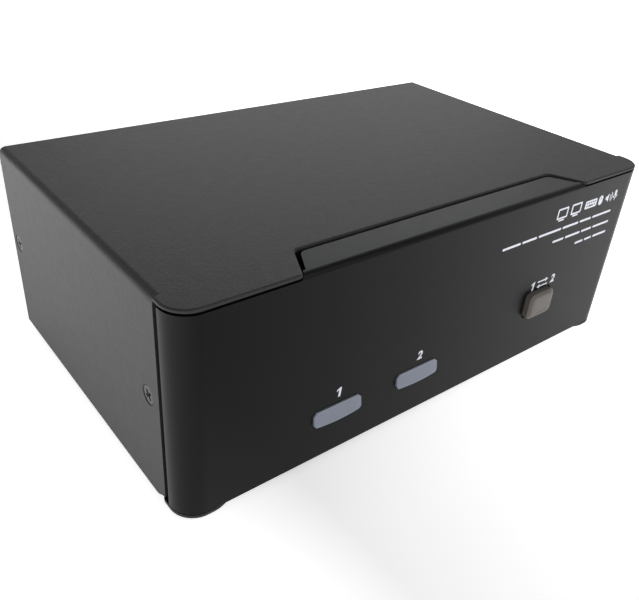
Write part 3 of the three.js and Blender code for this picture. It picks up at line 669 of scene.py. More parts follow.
def select_button():
    """A pillow-faced cap on a flange that stops it falling out."""
    width, height, radius = BUTTON_CAP["width"], BUTTON_CAP["height"], BUTTON_CAP["radius"]
    back = FRONT + WALL + GAP
    face = BUTTON.y0

    def ring(grow, corner):
        return rounded(width + grow, height + grow, corner, BUTTON.x, BUTTON.z, 8)

    outlines = [(ring(3, radius), back + 1.2), (ring(3, radius), back), (ring(0, radius), back)]
    # each ring of the crown: how far inside the cap's outline, how far behind the face
    crown = [(0, 1.5), (0, 1.15), (0.12, 0.98), (0.5, 0.62), (0.85, 0.34), (1.05, 0.21), (1.3, 0.13),
             (1.8, 0.08), (3.2, 0.02), (4.4, 0)]
    for inset, depth in crown:
        corner = max(radius - inset * 0.4, 0.4) + 0.5
        if height - 2 * inset < 2 * corner:
            corner = (height - 2 * inset) / 2.1
        outlines.append((ring(-2 * inset, corner), face + depth))
    cap = loft([[(x, y, z) for x, z in outline] for outline, y in outlines])
    groove_z = BUTTON.z - height / 2 + 2.2
    cap = cut(cap, slab(7, 0.3, 0.12, BUTTON.x, groove_z, face - 1, face + 0.16))
    finished("select_button_cap", cap, "button_plastic", "select_button", 0,
             body="select_button")


def light_bar(index, bar):
    """A lens that slopes out of its window towards a bowed lower edge, with a flange and a stem behind."""
    back = FRONT + WALL + GAP + 0.5
    half, top, bottom = LENS["width"] / 2, bar.z + LENS["height"] / 2, bar.z - LENS["height"] / 2
    rings = []
    for i in range(17):
        t = i / 8 - 1
        stand = LENS["end_stand"] + (LENS["stand"] - LENS["end_stand"]) * (1 - t * t)
        lip = FRONT - stand
        section = [(back, bottom), (back, top), (FRONT - LENS["top_stand"], top), (lip, bottom + 0.7),
                   (lip + 0.1, bottom + 0.3), (lip + 0.45, bottom)]
        rings.append([(bar.x + half * t, y, z) for y, z in section])
    outline = chamfered(LENS["width"], LENS["height"], LENS["chamfer"], bar.x, bar.z)
    lens = overlap(loft(rings), prism("Y", outline, FRONT - 4, back))
    back -= 0.5
    flange = slab(bar.width, bar.height, 1, bar.x, bar.z, back, back + 1)
    stem_outline = rounded(LENS["width"] - 4, LENS["height"] - 1.6, 0.8, bar.x, bar.z)
    stem = prism("Y", stem_outline, back + 0.5, bar.y1)
    finished(f"light_bar_{index}", join(lens, flange, stem), "smoked_lens",
             f"light_pipe_{index}", edge=0.14, steps=3)


top_cover()
front_bezel()
select_button()
for number, bar_place in enumerate(BARS, 1):
    light_bar(number, bar_place)

# ---- pan, rear panel and feet

INNER_SIDE = SIDE - SHEET - GAP  # outer face of the flanges inside the cover
DECK = FLOOR + SHEET
PANEL_INSIDE = REAR - SHEET
SOCKET_FRONT = PANEL_INSIDE - GAP  # front of the flanges behind the panel
FLANGE = {"length": 10.0, "zs": (FLOOR + 5.5, ROOF - 7)}
PAN = {"wall": FRONT + 13.6, "tab": 88.4, "setback": 3.0, "lip": 6.0}
OUTER_BEND = 1.2  # outside radius of the small folds


def upright_plate(base):
    """Fills the cover's section, with its top corners clipped to clear the folded edges."""
    top = ROOF - SHEET - GAP
    clipped = [(INNER_SIDE, top - BEND_RADIUS), (INNER_SIDE - BEND_RADIUS, top)]
    return mirrored([(INNER_SIDE, base)] + clipped)


def fold_round(axis, corner, inward, radius, low, high):
    """What a fold leaves off a square corner. inward is the sign of each way into the material."""
    (a, b), (da, db) = corner, inward
    curve = [(a + da * (radius + u), b + db * (radius + v)) for u, v in arc(0, 0, radius, 180, 270, 8)]
    far = [(a + da * radius, b - db), (a - da, b - db), (a - da, b + db * radius)]
    return prism(axis, curve + far, low, high)


def screw_flange(side, ys, screw):
    """An inward-facing flange with a threaded lug for a side screw."""
    outer = side * INNER_SIDE
    plate = block(sorted((outer, outer - side * SHEET)), ys, FLANGE["zs"])
    at, inward = (outer, screw.y, screw.z), (-side, 0, 0)
    lug = turned([(0, 0.5), (3, 0.5), (3, 2.7), (2.7, 3), (0, 3)], at, inward)
    return cut(join(plate, lug), rod(1.7, -1, 4, at, inward))


def side_screw(side, which):
    """The place of one of the two cover screws on a side: 0 is the front one."""
    own = sorted((s for s in COVER_SCREWS if s.x * side > 0), key=lambda s: s.y)
    return own[which]


def base_pan():
    wall, back = PAN["wall"], PAN["wall"] + SHEET
    reach, tab, recess = FRONT + SIDE_SETBACK - GAP, PAN["tab"], FRONT + PAN["setback"]
    corner = arc(SIDE - CORNER_RADIUS, FRONT + CORNER_RADIUS, CORNER_RADIUS, -90, 0, 16)
    blend = [(tab + 1.4 - 11 * (1 - t), recess - PAN["setback"] * t * t * (3 - 2 * t)) for t in STEPS]
    heel = [(SIDE, reach + 0.8), (SIDE - 0.25, reach + 1.8), (SIDE - 0.7, reach + 2.5)]
    heel.append((INNER_SIDE, reach + 3))
    right = blend + corner + heel + [(INNER_SIDE, REAR)]
    sheet = prism("Z", mirrored(right), FLOOR, DECK)
    upright = prism("Y", upright_plate(DECK - 0.5), wall, back)
    flanges = [screw_flange(s, (wall, back + FLANGE["length"]), side_screw(s, 0)) for s in (-1, 1)]
    lip_ys = (back + FLANGE["length"] + 4, REAR - 2 * FLANGE["length"])
    lip_zs = (FLOOR + 0.5, FLOOR + PAN["lip"])
    lips = [block(sorted((s * INNER_SIDE, s * (INNER_SIDE - SHEET))), lip_ys, lip_zs) for s in (-1, 1)]
    folds = [fold_round("Y", (s * INNER_SIDE, FLOOR), (-s, 1), OUTER_BEND, *lip_ys) for s in (-1, 1)]
    ribbon = Place("ribbon_cable")
    slot = slab(ribbon.width + 4, 8, 1.5, ribbon.x, 22, wall - 1, back + 1)
    holes = [rod(1.6, -2, 2, (screw.x, wall, screw.z), OUT) for screw in places("bezel_screw", 2)]
    below = places("foot", 4) + places("panel_screw", 2)
    holes += [rod(1.9, -2, 2, (under.x, under.y, FLOOR), UP) for under in below]
    pan = cut(join(sheet, upright, *flanges, *lips), slot, *holes, *folds)
    finished("pan_sheet", pan, "pan_steel", "base_pan")


OWNERS = ("console", "pc1", "pc2")
VIDEO = {
    "vga": {"shell": (16.9, 8.3), "screw": 12.5, "insulator": "insulator_blue"},
    "dvi": {"shell": (25.6, 9.4), "screw": 16.5, "insulator": "insulator_white"},
}
AUDIO = {"nose": 3.7, "bore": 1.8, "rises": {"pink": 6.0, "green": 18.0}}


def panel_cutouts():
    through = (PANEL_INSIDE - 0.6, REAR + 1)
    tools = []
    for owner in OWNERS:
        for kind, sizes in VIDEO.items():
            at = Place(f"{owner}_{kind}_socket")
            tools.append(prism("Y", d_shape(*sizes["shell"], GAP, at.x, at.z), *through))
            for s in (-1, 1):
                tools.append(prism("Y", circle(1.9, at.x + s * sizes["screw"], at.z), *through))
        audio = Place(f"{owner}_audio_sockets")
        for rise in AUDIO["rises"].values():
            tools.append(prism("Y", circle(AUDIO["nose"] + GAP, audio.x, audio.z0 + rise, 40), *through))
    squares = ("console_usb_sockets", "hub_usb_sockets", "pc1_usb_socket", "pc2_usb_socket", "power_jack")
    for at in map(Place, squares):
        window = rounded(at.width + 2 * GAP, at.height + 2 * GAP, 0.6, at.x, at.z)
        tools.append(prism("Y", window, *through))
    return tools


def rear_panel():
    plate = prism("Y", upright_plate(PANEL.z0), PANEL_INSIDE, REAR)
    flange_ys = (PANEL_INSIDE - FLANGE["length"] - SHEET, PANEL_INSIDE + 0.5)
    flanges = [screw_flange(s, flange_ys, side_screw(s, 1)) for s in (-1, 1)]
    foot_zs = (PANEL.z0, PANEL.z0 + SHEET)
    foot = block((-80, 80), (PANEL_INSIDE - 9, PANEL_INSIDE + 0.5), foot_zs)
    holes = [rod(1.6, 0, 5, (screw.x, screw.y, FLOOR), UP) for screw in places("panel_screw", 2)]
    folds = [fold_round("Z", (s * INNER_SIDE, REAR), (-s, -1), OUTER_BEND, *FLANGE["zs"]) for s in (-1, 1)]
    folds.append(fold_round("X", (REAR, PANEL.z0), (-1, 1), OUTER_BEND, -80, 80))
    panel = cut(join(plate, *flanges, foot), gathered(panel_cutouts()), *holes, *folds)
    finished("panel_sheet", panel, "pan_steel", "rear_panel", 0.12, material="cover_steel")


def rubber_foot(index):
    at = Place(f"foot_{index}")
    top, barb = FLOOR - GAP, DECK + GAP
    profile = [(0, 1.1), (1.1, 1.1), (1.3, 0.75), (2.6, 0.6), (3.4, 0.12), (3.9, 0), (5.4, 0), (5.9, 0.18),
               (6.2, 0.6), (6.2, top - 0.35), (5.9, top), (1.5, top), (1.5, barb), (2.4, barb)]
    profile += [(2.5, barb + 0.2), (1.3, at.z1 - 0.15), (1.0, at.z1), (0, at.z1)]
    foot = turned(profile, (at.x, at.y, 0), steps=56)
    finished(f"rubber_foot_{index}", foot, "foot_rubber", f"foot_{index}", edge=0)


base_pan()
rear_panel()
for foot_number in range(1, 5):
    rubber_foot(foot_number)

# ---- screws


def thread(core, crest, start, end):
    """The flanks of a thread from one height down to a blunt tip."""
    flanks, pitch = [(core, start)], 0.5
    for i in range(int((start - end - 0.5) / pitch)):
        top = start - 0.1 - i * pitch
        for radius, share in ((core, 0), (crest, 0.2), (crest, 0.35), (core, 0.55)):
            flanks.append((radius, top - share * pitch))
    return flanks + [(core, end + 0.35), (core * 0.7, end), (0, end)]


def cross_recess(reach, depth):
    """The tapered cross that a screwdriver fits, going down from height 0."""
    rings = []
    for share, height in ((1.0, 0.4), (1.0, 0), (0.72, -0.6 * depth), (0.4, -depth)):
        a, b = reach * share, reach * 0.27 * share
        quarter = [(a, -b), (a, b), (b, b)]
        turns = [(1, 0), (0, 1), (-1, 0), (0, -1)]
        rings.append([(c * u - s * v, s * u + c * v, height) for c, s in turns for u, v in quarter])
    return loft(rings)


def flat_head(radius, neck):
    return [(0, 0), (radius - 0.35, 0), (radius - 0.08, -0.07), (radius, -0.22), (neck, -1.6)]


def pan_head(radius, height, neck):
    curve = [(0, 0), (0.5, -0.04), (0.74, -0.14), (0.9, -0.34), (0.98, -0.62), (1.0, -0.95)]
    return [(radius * u, height * v) for u, v in curve] + [(neck, -height)]


def screw(node, direction, head, recess, turn, slot):
    """A cross-recess screw that fills its node's box. With no direction, its head faces out at a side."""
    at = Place(node)
    direction = direction or (math.copysign(1, at.x), 0, 0)
    length = sum(abs(d) * size for d, size in zip(direction, (at.width, at.depth, at.height)))
    neck, under = head[-1]
    made = turned(head + thread(neck - 0.12, neck + 0.12, under, -length), steps=36)
    made = cut(made, cross_recess(*recess))
    made.data.transform(Matrix.Rotation(math.radians(turn), 4, "Z"))
    placed(made, at.end(direction), direction)
    finished(f"{node}_machined", made, slot, node, 0)


TURNS = [38, 12, 67, 25]  # how far each was left turned, in degrees
SCREWS = (  # nodes, direction, head, cross recess, slot, turns
    ("cover_screw", None, flat_head(2.9, 1.35), (1.75, 1.3), "black_screw", TURNS),
    ("board_screw", UP, pan_head(2.7, 1.8, 1.2), (1.6, 1.2), "zinc_steel", TURNS[::-1]),
    ("bezel_screw", OUT, pan_head(2.6, 1.8, 1.1), (1.6, 1.2), "zinc_steel", TURNS[1:3]),
    ("front_board_screw", OUT, pan_head(2.4, 1.3, 1.1), (1.5, 0.9), "zinc_steel", TURNS[1:3]),
    ("panel_screw", DOWN, pan_head(2.6, 1.3, 1.25), (1.6, 0.9), "black_screw", TURNS[::-1][:2]),
)
for stem, way, screw_head, cross, screw_slot, turns in SCREWS:
    for screw_number, left in enumerate(turns, 1):
        screw(f"{stem}_{screw_number}", way, screw_head, cross, left, screw_slot)

# ---- rear sockets

TIP_RECESS = 0.6  # from a video shell's tip back to its insulator


def hex_jackscrew(x, z):
    """A standoff that a plug's thumbscrew goes into, with its corners turned down."""
    base, tip, corner = REAR + GAP, REAR + 5, 4.75 / math.sqrt(3)
    barrel = [(0, base), (corner - 0.3, base), (corner + 0.1, base + 0.25), (corner + 0.1, tip - 0.45),
              (corner - 0.45, tip), (0, tip)]
    at = (x, 0, z)
    bore = [(0, tip + 1), (1.55, tip + 1), (1.55, tip - 0.02)]
    bore += [(r, tip - 0.3 - 0.25 * i) for i, r in enumerate([1.3, 1.42] * 7)]
    bore += [(1.3, REAR + 1), (0, REAR + 0.8)]
    hexed = overlap(prism("Y", hexagon(4.75, x, z), base, tip), turned(barrel, at, OUT))
    return cut(join(hexed, rod(1.5, SOCKET_FRONT - 0.5, REAR + 1, at, OUT)), turned(bore, at, OUT))


def vga_pins(x, z):
    """Three rows of five, each row half a pitch along from the next."""
    pitch, rows = 2.29, 1.98
    return [(x + (i - 2) * pitch + (0.57 if row != 0 else -0.57), z + row * rows)
            for row in (1, 0, -1) for i in range(5)]


def dvi_pins(x, z):
    """Three rows of eight, beside the cross-shaped blade."""
    pitch = 1.905
    return [(x + 9.3 - i * pitch, z + row * pitch) for row in (1, 0, -1) for i in range(8)]


def video_socket(owner, kind):
    node, piece = f"{owner}_{kind}_socket", f"{owner}_{kind}"
    at, sizes = Place(node), VIDEO[kind]
    screws = [at.x + s * sizes["screw"] for s in (-1, 1)]
    tip = at.y1 - 0.5
    face = tip - TIP_RECESS

    def drawn(grow, low, high):
        return prism("Y", d_shape(*sizes["shell"], grow, at.x, at.z), low, high)

    plate = slab(at.width, at.height, 1.6, at.x, at.z, SOCKET_FRONT - 0.8, SOCKET_FRONT)
    shell = join(plate, drawn(0, SOCKET_FRONT - 0.5, tip))
    holes = [prism("Y", circle(1.52, x, at.z), SOCKET_FRONT - 2, SOCKET_FRONT + 1) for x in screws]
    shell = cut(shell, drawn(-0.45, SOCKET_FRONT - 2, tip + 1), *holes)
    finished(f"{piece}_shell", shell, "zinc_steel", node, 0.16)
    body = slab(sizes["shell"][0] + 3, at.height, 0.6, at.x, at.z, at.y0, SOCKET_FRONT - 0.85)
    insulator = join(drawn(-0.5, SOCKET_FRONT - 2, face), body)
    if kind == "vga":
        pins = vga_pins(at.x, at.z)
        profile = [(0, 0.5), (0.75, 0.5), (0.75, 0.01), (0.5, -0.3), (0.5, -4), (0, -4)]
        wells = [turned(profile, (x, face, z), OUT, 14) for x, z in pins]
    else:
        pins = dvi_pins(at.x, at.z)
        wells = [slab(1.05, 1.05, 0.15, x, z, face - 4, face + 1, 2) for x, z in pins]
        blade_x = at.x - 8.6
        wells.append(join(slab(4.9, 0.8, 0.2, blade_x, at.z, face - 4, face + 1, 2),
                          slab(0.8, 5.3, 0.2, blade_x, at.z, face - 3.9, face + 1.1, 2)))
        for u, v in ((1.4, 1.5), (-1.4, 1.5), (1.4, -1.5), (-1.4, -1.5)):
            wells.append(prism("Y", circle(0.5, blade_x + u, at.z + v, 14), face - 4, face + 1))
    finished(f"{piece}_insulator", cut(insulator, gathered(wells)), sizes["insulator"], node, 0)
    contacts = [rod(0.3, face - 3.9, face - 0.7, (x, 0, z), OUT, 10) for x, z in pins]
    finished(f"{piece}_contacts", gathered(contacts), "gold_contact", node, 0)
    jackscrews = [hex_jackscrew(x, at.z) for x in screws]
    finished(f"{piece}_jackscrews", gathered(jackscrews), "zinc_steel", node, 0)


def spring_leaf(x, z, face):
    """A bent tab that grips the plug's shell, from the wall of an opening into it."""
    outline = [(face - 1.0, 0), (face - 3.2, 0.5), (face - 4.0, 0.55), (face - 7.5, 0), (face - 7.5, -0.3),
               (face - 1.0, -0.3)]
    return prism("X", [(y, z + h) for y, h in outline], x - 1.1, x + 1.1)


def usb_shell(at, mouths):
    """A square shell with openings in it."""
    shell = slab(at.width, at.height, 0.7, at.x, at.z, at.y0, at.y1)
    return cut(shell, *mouths)


def usb_pieces(node, shell, tongues, tongue_edge, contacts):
    finished(f"{node}_shell", shell, "zinc_steel", node, 0.14)
    name = "tongue" if len(tongues) == 1 else "tongues"
    finished(f"{node}_{name}", gathered(tongues), "insulator_white", node, tongue_edge)
    finished(f"{node}_contacts", gathered(contacts), "gold_contact", node, 0)


def usb_a_sockets(node):
    at = Place(node)
    face = at.y1
    levels = (at.z - 3.8, at.z + 3.8)
    mouths = [slab(12.2, 5.2, 0.5, at.x, z, face - 13, face + 1) for z in levels]
    leaves = [spring_leaf(x, z - 2.6, face) for z in levels for x in (at.x - 2.6, at.x + 2.6)]
    tongues, contacts = [], []
    for low, high in ((z + 0.1, z + 2.0) for z in levels):
        tongues.append(block((at.x - 5.2, at.x + 5.2), (face - 12.9, face - 0.8), (low, high)))
        for x in (at.x - 3.5, at.x - 1.0, at.x + 1.0, at.x + 3.5):
            contacts.append(block((x - 0.5, x + 0.5), (face - 11, face - 2.2), (low - 0.12, low + 0.3)))
    usb_pieces(node, join(usb_shell(at, mouths), *leaves), tongues, 0.2, contacts)


def usb_b_socket(node):
    at = Place(node)
    face = at.y1
    w, h, bevel = 4.25, 3.9, 1.6
    right = [(w, -h), (w, h - bevel), (w - bevel, h)]
    mouth = softened([(at.x + u, at.z + v) for u, v in mirrored(right)], 0.35, 3)
    shell = usb_shell(at, [prism("Y", mouth, face - 9.2, face + 1)])
    tongue = block((at.x - 2.8, at.x + 2.8), (face - 9.1, face - 0.8), (at.z - 1.6, at.z + 1.6))
    contacts = [block((x - 0.5, x + 0.5), (face - 8.6, face - 2), sorted((at.z + s * 1.3, at.z + s * 1.7)))
                for x in (at.x - 1.25, at.x + 1.25) for s in (-1, 1)]
    usb_pieces(node, shell, [tongue], 0.25, contacts)


def audio_sockets(owner):
    node = f"{owner}_audio_sockets"
    at = Place(node)
    nose, bore, reach = AUDIO["nose"], AUDIO["bore"], at.y1 - SOCKET_FRONT
    wide = bore + 0.35
    lip = [(wide, 0.02), (nose, 0.02), (nose, reach - 0.35), (nose - 0.12, reach - 0.1)]
    lip += [(nose - 0.4, reach), (bore + 1.0, reach), (bore + 0.7, reach - 0.12), (wide, reach - 0.7)]
    lip.append(lip[0])
    tube = [(bore, -10.8), (bore + 0.3, -10.8), (bore + 0.3, reach - 0.85), (bore + 0.2, reach - 0.75),
            (bore, reach - 0.95), (bore, -10.8)]
    holes, sleeves = [], []
    for color, rise in AUDIO["rises"].items():
        centre = (at.x, SOCKET_FRONT, at.z0 + rise)
        holes.append(rod(wide, -11, 1, centre, OUT, 32))
        sleeves.append(turned(tube, centre, OUT, 32))
        finished(f"{owner}_{color}_ring", turned(lip, centre, OUT, 48), f"ring_{color}", node, 0)
    housing = slab(at.width, at.height, 0.8, at.x, at.z, at.y0, SOCKET_FRONT)
    finished(f"{owner}_audio_housing", cut(housing, *holes), "black_plastic", node, 0.2)
    finished(f"{owner}_audio_sleeves", gathered(sleeves), "zinc_steel", node, 0)


def power_jack():
    node = "power_jack"
    at = Place(node)
    centre = (at.x, at.y1, at.z)
    housing = slab(at.width, at.height, 0.9, at.x, at.z, at.y0, at.y1)
    mouth = [(0, 1), (3.5, 1), (3.5, -0.02), (3.1, -0.45), (3.1, -9.5), (0, -9.5)]
    pin = [(0, -9.6), (1.0, -9.6), (1.0, -1.5), (0.9, -1.15), (0.6, -1.0), (0, -0.95)]
    sleeve = [(2.85, -9.4), (3.05, -9.4), (3.05, -0.9), (2.95, -0.8), (2.85, -0.9), (2.85, -9.4)]
    housing = cut(housing, turned(mouth, centre, OUT, 48))
    finished(f"{node}_housing", housing, "black_plastic", node, 0.25)
    finished(f"{node}_pin", turned(pin, centre, OUT, 28), "zinc_steel", node, 0)
    finished(f"{node}_sleeve", turned(sleeve, centre, OUT), "zinc_steel", node, 0)


for socket_owner in OWNERS:
    video_socket(socket_owner, "vga")
    video_socket(socket_owner, "dvi")
    audio_sockets(socket_owner)
for group in ("console", "hub"):
    usb_a_sockets(f"{group}_usb_sockets")
for computer in ("pc1", "pc2"):
    usb_b_socket(f"{computer}_usb_socket")
power_jack()

# ---- printed legends

INK = 0.03  # how far the print stands on its face
SUNK = 0.02
SLANT = 0.12  # how far the numerals lean to the right
NUMERAL_ONE = [(0, -1.8), (0.85, -1.8), (0.85, 1.8), (0.15, 1.8), (-0.95, 1.15), (-0.95, 0.45), (0, 0.95)]
KEYS = [(1.15 * i, 0.6, 0.75) for i in range(-2, 3)]  # middle and width
KEYS += [(-2.3, -0.6, 0.75), (2.3, -0.6, 0.75), (0, -0.6, 2.9)]
LOUDSPEAKER = [(-2.0, -0.7), (-1.2, -0.7), (0, -1.8), (0, 1.8), (-1.2, 0.7), (-2.0, 0.7)]
GLYPHS = {  # outlines, each with its holes, about a centre
    "monitor": [(rounded(6.4, 4.4, 0.5), [rounded(5.0, 3.0, 0.2)]), (rounded(3.4, 0.65, 0.2, 0, -2.8), [])],
    "keyboard": [(rounded(7.2, 3.2, 0.5), [rounded(width, 0.6, 0.1, u, v, 1) for u, v, width in KEYS])],
    "mouse": [(rounded(2.8, 4.2, 1.3), [rounded(0.45, 1.2, 0.2, 0, 0.8, 2)])],
    "waves": [(LOUDSPEAKER, [])],
    "microphone": [(rounded(1.3, 2.5, 0.6, 0, 0.7), []),
                   (arc(0, 0.3, 1.55, 200, 340, 12) + arc(0, 0.3, 1.15, 340, 200, 12), []),
                   (rounded(0.4, 0.8, 0.1, 0, -1.75, 1), [])],
    "plug": [(rounded(3.0, 2.0, 0.3, 0, 0.8), [rounded(0.6, 0.6, 0.1, u, 1.0, 1) for u in (-0.75, 0.75)]),
             (rounded(3.8, 2.2, 0.5, 0, -1.4), []), (rounded(0.7, 1.4, 0.2, 0, -3.3), [])],
}
for wave in (1.2, 2.3):
    GLYPHS["waves"].append((arc(0, 0, wave + 0.45, -48, 48, 10) + arc(0, 0, wave, 48, -48, 10), []))


class Sheet:
    """A face that is printed on. Shapes read left to right, and are given about a point of the face."""

    def __init__(self, name, y, facing):
        self.name, self.y, self.facing = name, y, facing
        self.parts = []

    def shape(self, outline, x, z, holes=(), scale=1.0):
        flip = -self.facing
        ys = sorted((self.y - self.facing * SUNK, self.y + self.facing * INK))

        def drawn(points, y0, y1):
            return prism("Y", [(x + flip * scale * u, z + scale * v) for u, v in points], y0, y1)

        made = drawn(outline, *ys)
        if holes:
            made = cut(made, gathered([drawn(hole, ys[0] - 1, ys[1] + 1) for hole in holes]))
        self.parts.append(made)

    def digit(self, text, height, x, z):
        """A heavy slanted numeral, with a flagged 1."""
        if text == "1":
            self.shape([(v * SLANT + u, v) for u, v in NUMERAL_ONE], x, z, (), height / 3.6)
            return
        size = height * 1.37
        curve = bpy.data.curves.new("text", "FONT")
        curve.body, curve.size, curve.shear, curve.offset = text, size, SLANT, 0.035 * size
        curve.align_x = curve.align_y = "CENTER"
        curve.extrude = (INK + SUNK) / 2
        curve.resolution_u = 4
        writing = linked("text", curve)
        mesh = evaluated(writing)
        bpy.data.objects.remove(writing)
        middle = self.y + self.facing * (INK - SUNK) / 2
        upright = ((-self.facing, 0, 0, x), (0, 0, self.facing, middle), (0, 1, 0, z), (0, 0, 0, 1))
        mesh.transform(Matrix(upright))
        self.parts.append(linked("text", mesh))

    def bar(self, x, z, width, height):
        self.shape(rounded(width, height, min(width, height) / 2.2, 0, 0, 3), x, z)

    def glyph(self, name, x, z, scale=1.0):
        for outline, holes in GLYPHS[name]:
            self.shape(outline, x, z, holes, scale)

    def arrows(self, x, z, length):
        """Two arrows, one over the other, that point opposite ways."""
        half, head, line, barb = length / 2, 1.6, 0.3, 0.9
        arrow = [(-half, -line), (half - head, -line), (half - head, -barb), (half, 0), (half - head, barb),
                 (half - head, line), (-half, line)]
        self.shape(arrow, x, z + 1.05)
        self.shape([(-u, v) for u, v in arrow][::-1], x, z - 1.05)

    def bracket(self, x0, x1, z):
        """A line that gathers a group of sockets, with its ends turned down."""
        half, line, drop = abs(x1 - x0) / 2, 0.35, 1.2
        outline = [(-half, -drop), (-half + line, -drop), (-half + line, -line), (half - line, -line),
                   (half - line, -drop), (half, -drop), (half, 0), (-half, 0)]
        self.shape(outline, (x0 + x1) / 2, z)

    def finish(self):
        finished(self.name, gathered(self.parts), "legend_ink", edge=0)


def front_legend():
    sheet = Sheet("front_legend", FRONT, -1)
    numeral_z = BARS[0].z + 7.05
    sheet.digit("1", 3.5, BARS[0].x + 0.1, numeral_z)
    sheet.digit("2", 3.3, BARS[1].x + 0.5, numeral_z)
    over_button = BUTTON.z + 7.8
    sheet.digit("1", 3.6, BUTTON.x - 4.6, over_button)
    sheet.arrows(BUTTON.x + 1.2, over_button, 6.2)
    sheet.digit("2", 3.4, BUTTON.x + 7.3, over_button)
    right, row = 86.0, ROOF - 9.6
    row_of_glyphs = (("monitor", 33.6, 0, 0.95), ("monitor", 25.4, 0, 0.95), ("keyboard", 16.4, 0.2, 1.0),
                     ("mouse", 10.2, 0.2, 0.9), ("waves", 5.0, 0.2, 0.95), ("microphone", 0.6, 0, 1.05))
    for name, back, drop, scale in row_of_glyphs:
        sheet.glyph(name, right - back, row - drop, scale)
    lines = ((ROOF - 16, 85.2, (12, 7, 9.4, 13, 8, 9.6)), (ROOF - 20.6, 85.8, (10.4, 6.4, 9, 6.6)),
             (ROOF - 25, 86, (8.6, 4.6, 5)))
    for z, end, words in lines:
        x = end
        for word in words:
            sheet.bar(x - word / 2, z, word, 0.9)
            x -= word + 0.96
    sheet.finish()


def rear_legend():
    sheet = Sheet("rear_legend", REAR, 1)
    middle = 33.6
    for owner, label in zip(OWNERS, ("", "1", "2")):
        video, audio = Place(f"{owner}_vga_socket"), Place(f"{owner}_audio_sockets")
        sheet.glyph("monitor", video.x, middle - 0.6)
        toward = math.copysign(1, video.x - audio.x)
        sheet.bracket(audio.x - toward * 5.0, video.x + toward * 17.0, middle + 6.2)
        sheet.glyph("microphone", audio.x - 3.6, middle + 2.6, 0.75)
        sheet.glyph("waves", audio.x + 3.4, middle + 2.6, 0.7)
        if label:
            for s in (-1, 1):
                sheet.digit(label, 4.8, video.x + s * 9.5, middle - 0.6)
    sheet.glyph("keyboard", Place("console_usb_sockets").x, middle - 2.6, 0.85)
    sheet.glyph("plug", Place("hub_usb_sockets").x, middle - 2.2, 0.75)
    power = Place("power_jack")
    sheet.bar(power.x, power.z1 + 3.6, 5, 0.45)
    for step in (-1.9, 0, 1.9):
        sheet.bar(power.x + step, power.z1 + 2.4, 1.2, 0.45)
    sheet.finish()


front_legend()
rear_legend()

# ---- what stays as it was machined

CARRIED = {  # material: nodes
    "board": ["front_board", "main_board", "video_board"],
    "black_plastic": ["board_stacker", "switch_chip", "hub_chip", "ribbon_header", "switch_body"],
    "ribbon": ["ribbon_cable"],
    "brass": [f"{level}_standoff_{i}" for level in ("lower", "upper") for i in range(1, 5)],
    "insulator_white": ["switch_plunger"],
    "lamp": ["indicator_led_1", "indicator_led_2"],
}


def carry_over(node, material):
    """Gives a CAD node its material, and softens its edges without touching its mesh."""
    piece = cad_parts[node]
    for material_slot in piece.material_slots:
        material_slot.link = "OBJECT"
        material_slot.material = material
    piece.modifiers.new("weld", "WELD").merge_threshold = 0.00001
    add_bevel(piece, 0.00015, 2).harden_normals = True


for finish_name, nodes in CARRIED.items():
    for carried in nodes:
        carry_over(carried, MATERIAL[finish_name])

# ---- camera, floor and light


CAMERA = {"lens": 40.16, "place": (-0.16172, -0.18805, 0.16444), "turn": (58.125, -3.7168, -37.8513)}
AIM = (0, 0, 0.03)  # where every light points
FLOOR_HALF = 6.0
SKY_STOPS = ((0.0, 0.85), (0.05, 0.8), (0.12, 0.25), (0.28, 0.25), (0.33, 1.12), (0.52, 1.12), (0.58, 0.0))
SOFTBOXES = (  # name, place, size, watts
    ("softbox_behind", (0.9, 1.2, 0.5), (1.2, 0.8), 2.4),
    ("softbox_behind_high", (0.5, 1.0, 1.0), (1.2, 0.8), 1.6),
    ("softbox_over", (0, 0, 2.0), (1.5, 1.5), 4.4),
    ("softbox_right", (1.3, 0.2, 1.0), (1.0, 1.0), 1.6),
    ("softbox_front", (0.3, -0.9, 0.9), (0.8, 0.8), 4.2),
)


def camera():
    data = bpy.data.cameras.new("camera")
    data.sensor_width = 36
    data.lens = CAMERA["lens"]
    made = linked("camera", data)
    made.location = CAMERA["place"]
    made.rotation_euler = Euler([math.radians(a) for a in CAMERA["turn"]])
    data.clip_start, data.clip_end = 0.01, 50
    bpy.context.scene.camera = made


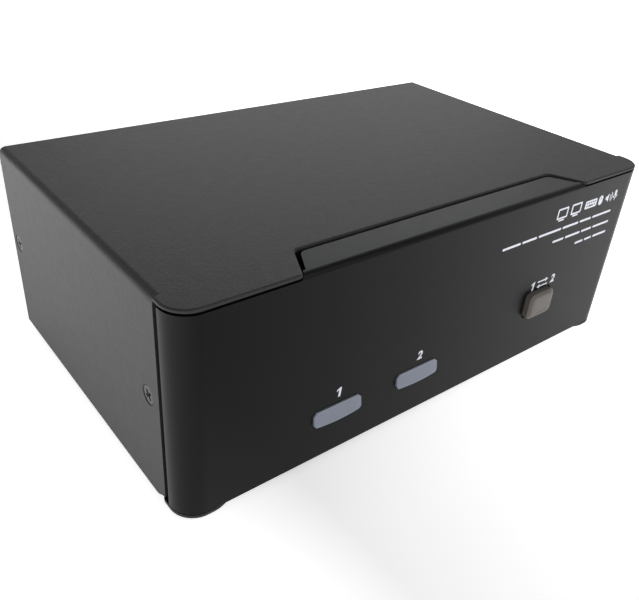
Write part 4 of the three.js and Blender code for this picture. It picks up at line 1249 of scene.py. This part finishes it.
def area_light(name, place, size, power):
    data = bpy.data.lights.new(name, "AREA")
    data.shape = "RECTANGLE"
    data.size, data.size_y = size
    data.energy = power
    made = linked(name, data)
    made.location = place
    made.rotation_euler = (Vector(AIM) - Vector(place)).to_track_quat("-Z", "Y").to_euler()
    made.visible_camera = False


def painted_light_floor():
    """A pale floor with painted light: it glows faintly, more towards its sides and far away, in place of
    lamp light on a sweep, and the glow lights the object too.
    """
    pale = Surface("floor_pale", (0.83, 0.83, 0.83), 0.9, ior=1.2)
    pale.set("Emission Color", (1, 1, 1, 1))
    across = pale.node("SeparateXYZ", Vector=pale.place).outputs["X"]
    distance = pale.computed("VectorMath", "LENGTH", pale.place)
    total = pale.ranged(across, 0.47, 1.4, -0.06, 0.25)
    total = pale.computed("Math", "ADD", total, pale.ranged(across, 0, 1.64, -0.06, -0.25))
    total = pale.computed("Math", "ADD", total, pale.ranged(distance, 0, 0.5, 0.3, 0.9))
    pale.link(total, pale.shader.inputs["Emission Strength"])
    return pale.material


def sky():
    """A ring of light that the top reflects, over a dimmer band and a pale horizon."""
    world = bpy.data.worlds.new("studio")
    world.use_nodes = True
    tree = world.node_tree
    way = new_node(tree, "TexCoord").outputs["Generated"]
    height = new_node(tree, "SeparateXYZ", Vector=way).outputs["Z"]
    bands = new_node(tree, "ValToRGB", Fac=height)
    ramp = bands.color_ramp.elements
    while len(ramp) < len(SKY_STOPS):
        ramp.new(0.5)
    for element, (position, level) in zip(ramp, SKY_STOPS):
        element.position = position
        element.color = (level, level, level, 1)
    tree.links.new(bands.outputs["Color"], tree.nodes["Background"].inputs["Color"])
    return world


def studio():
    mesh = bpy.data.meshes.new("floor")
    corners = [(u * FLOOR_HALF, v * FLOOR_HALF, 0) for u, v in ((-1, -1), (1, -1), (1, 1), (-1, 1))]
    mesh.from_pydata(corners, [], [(0, 1, 2, 3)])
    mesh.materials.append(painted_light_floor())
    linked("floor", mesh)
    bpy.context.scene.world = sky()
    for name, place, size, power in SOFTBOXES:
        area_light(name, place, size, power)
    bpy.context.scene.view_settings.view_transform = "Standard"


camera()
studio()
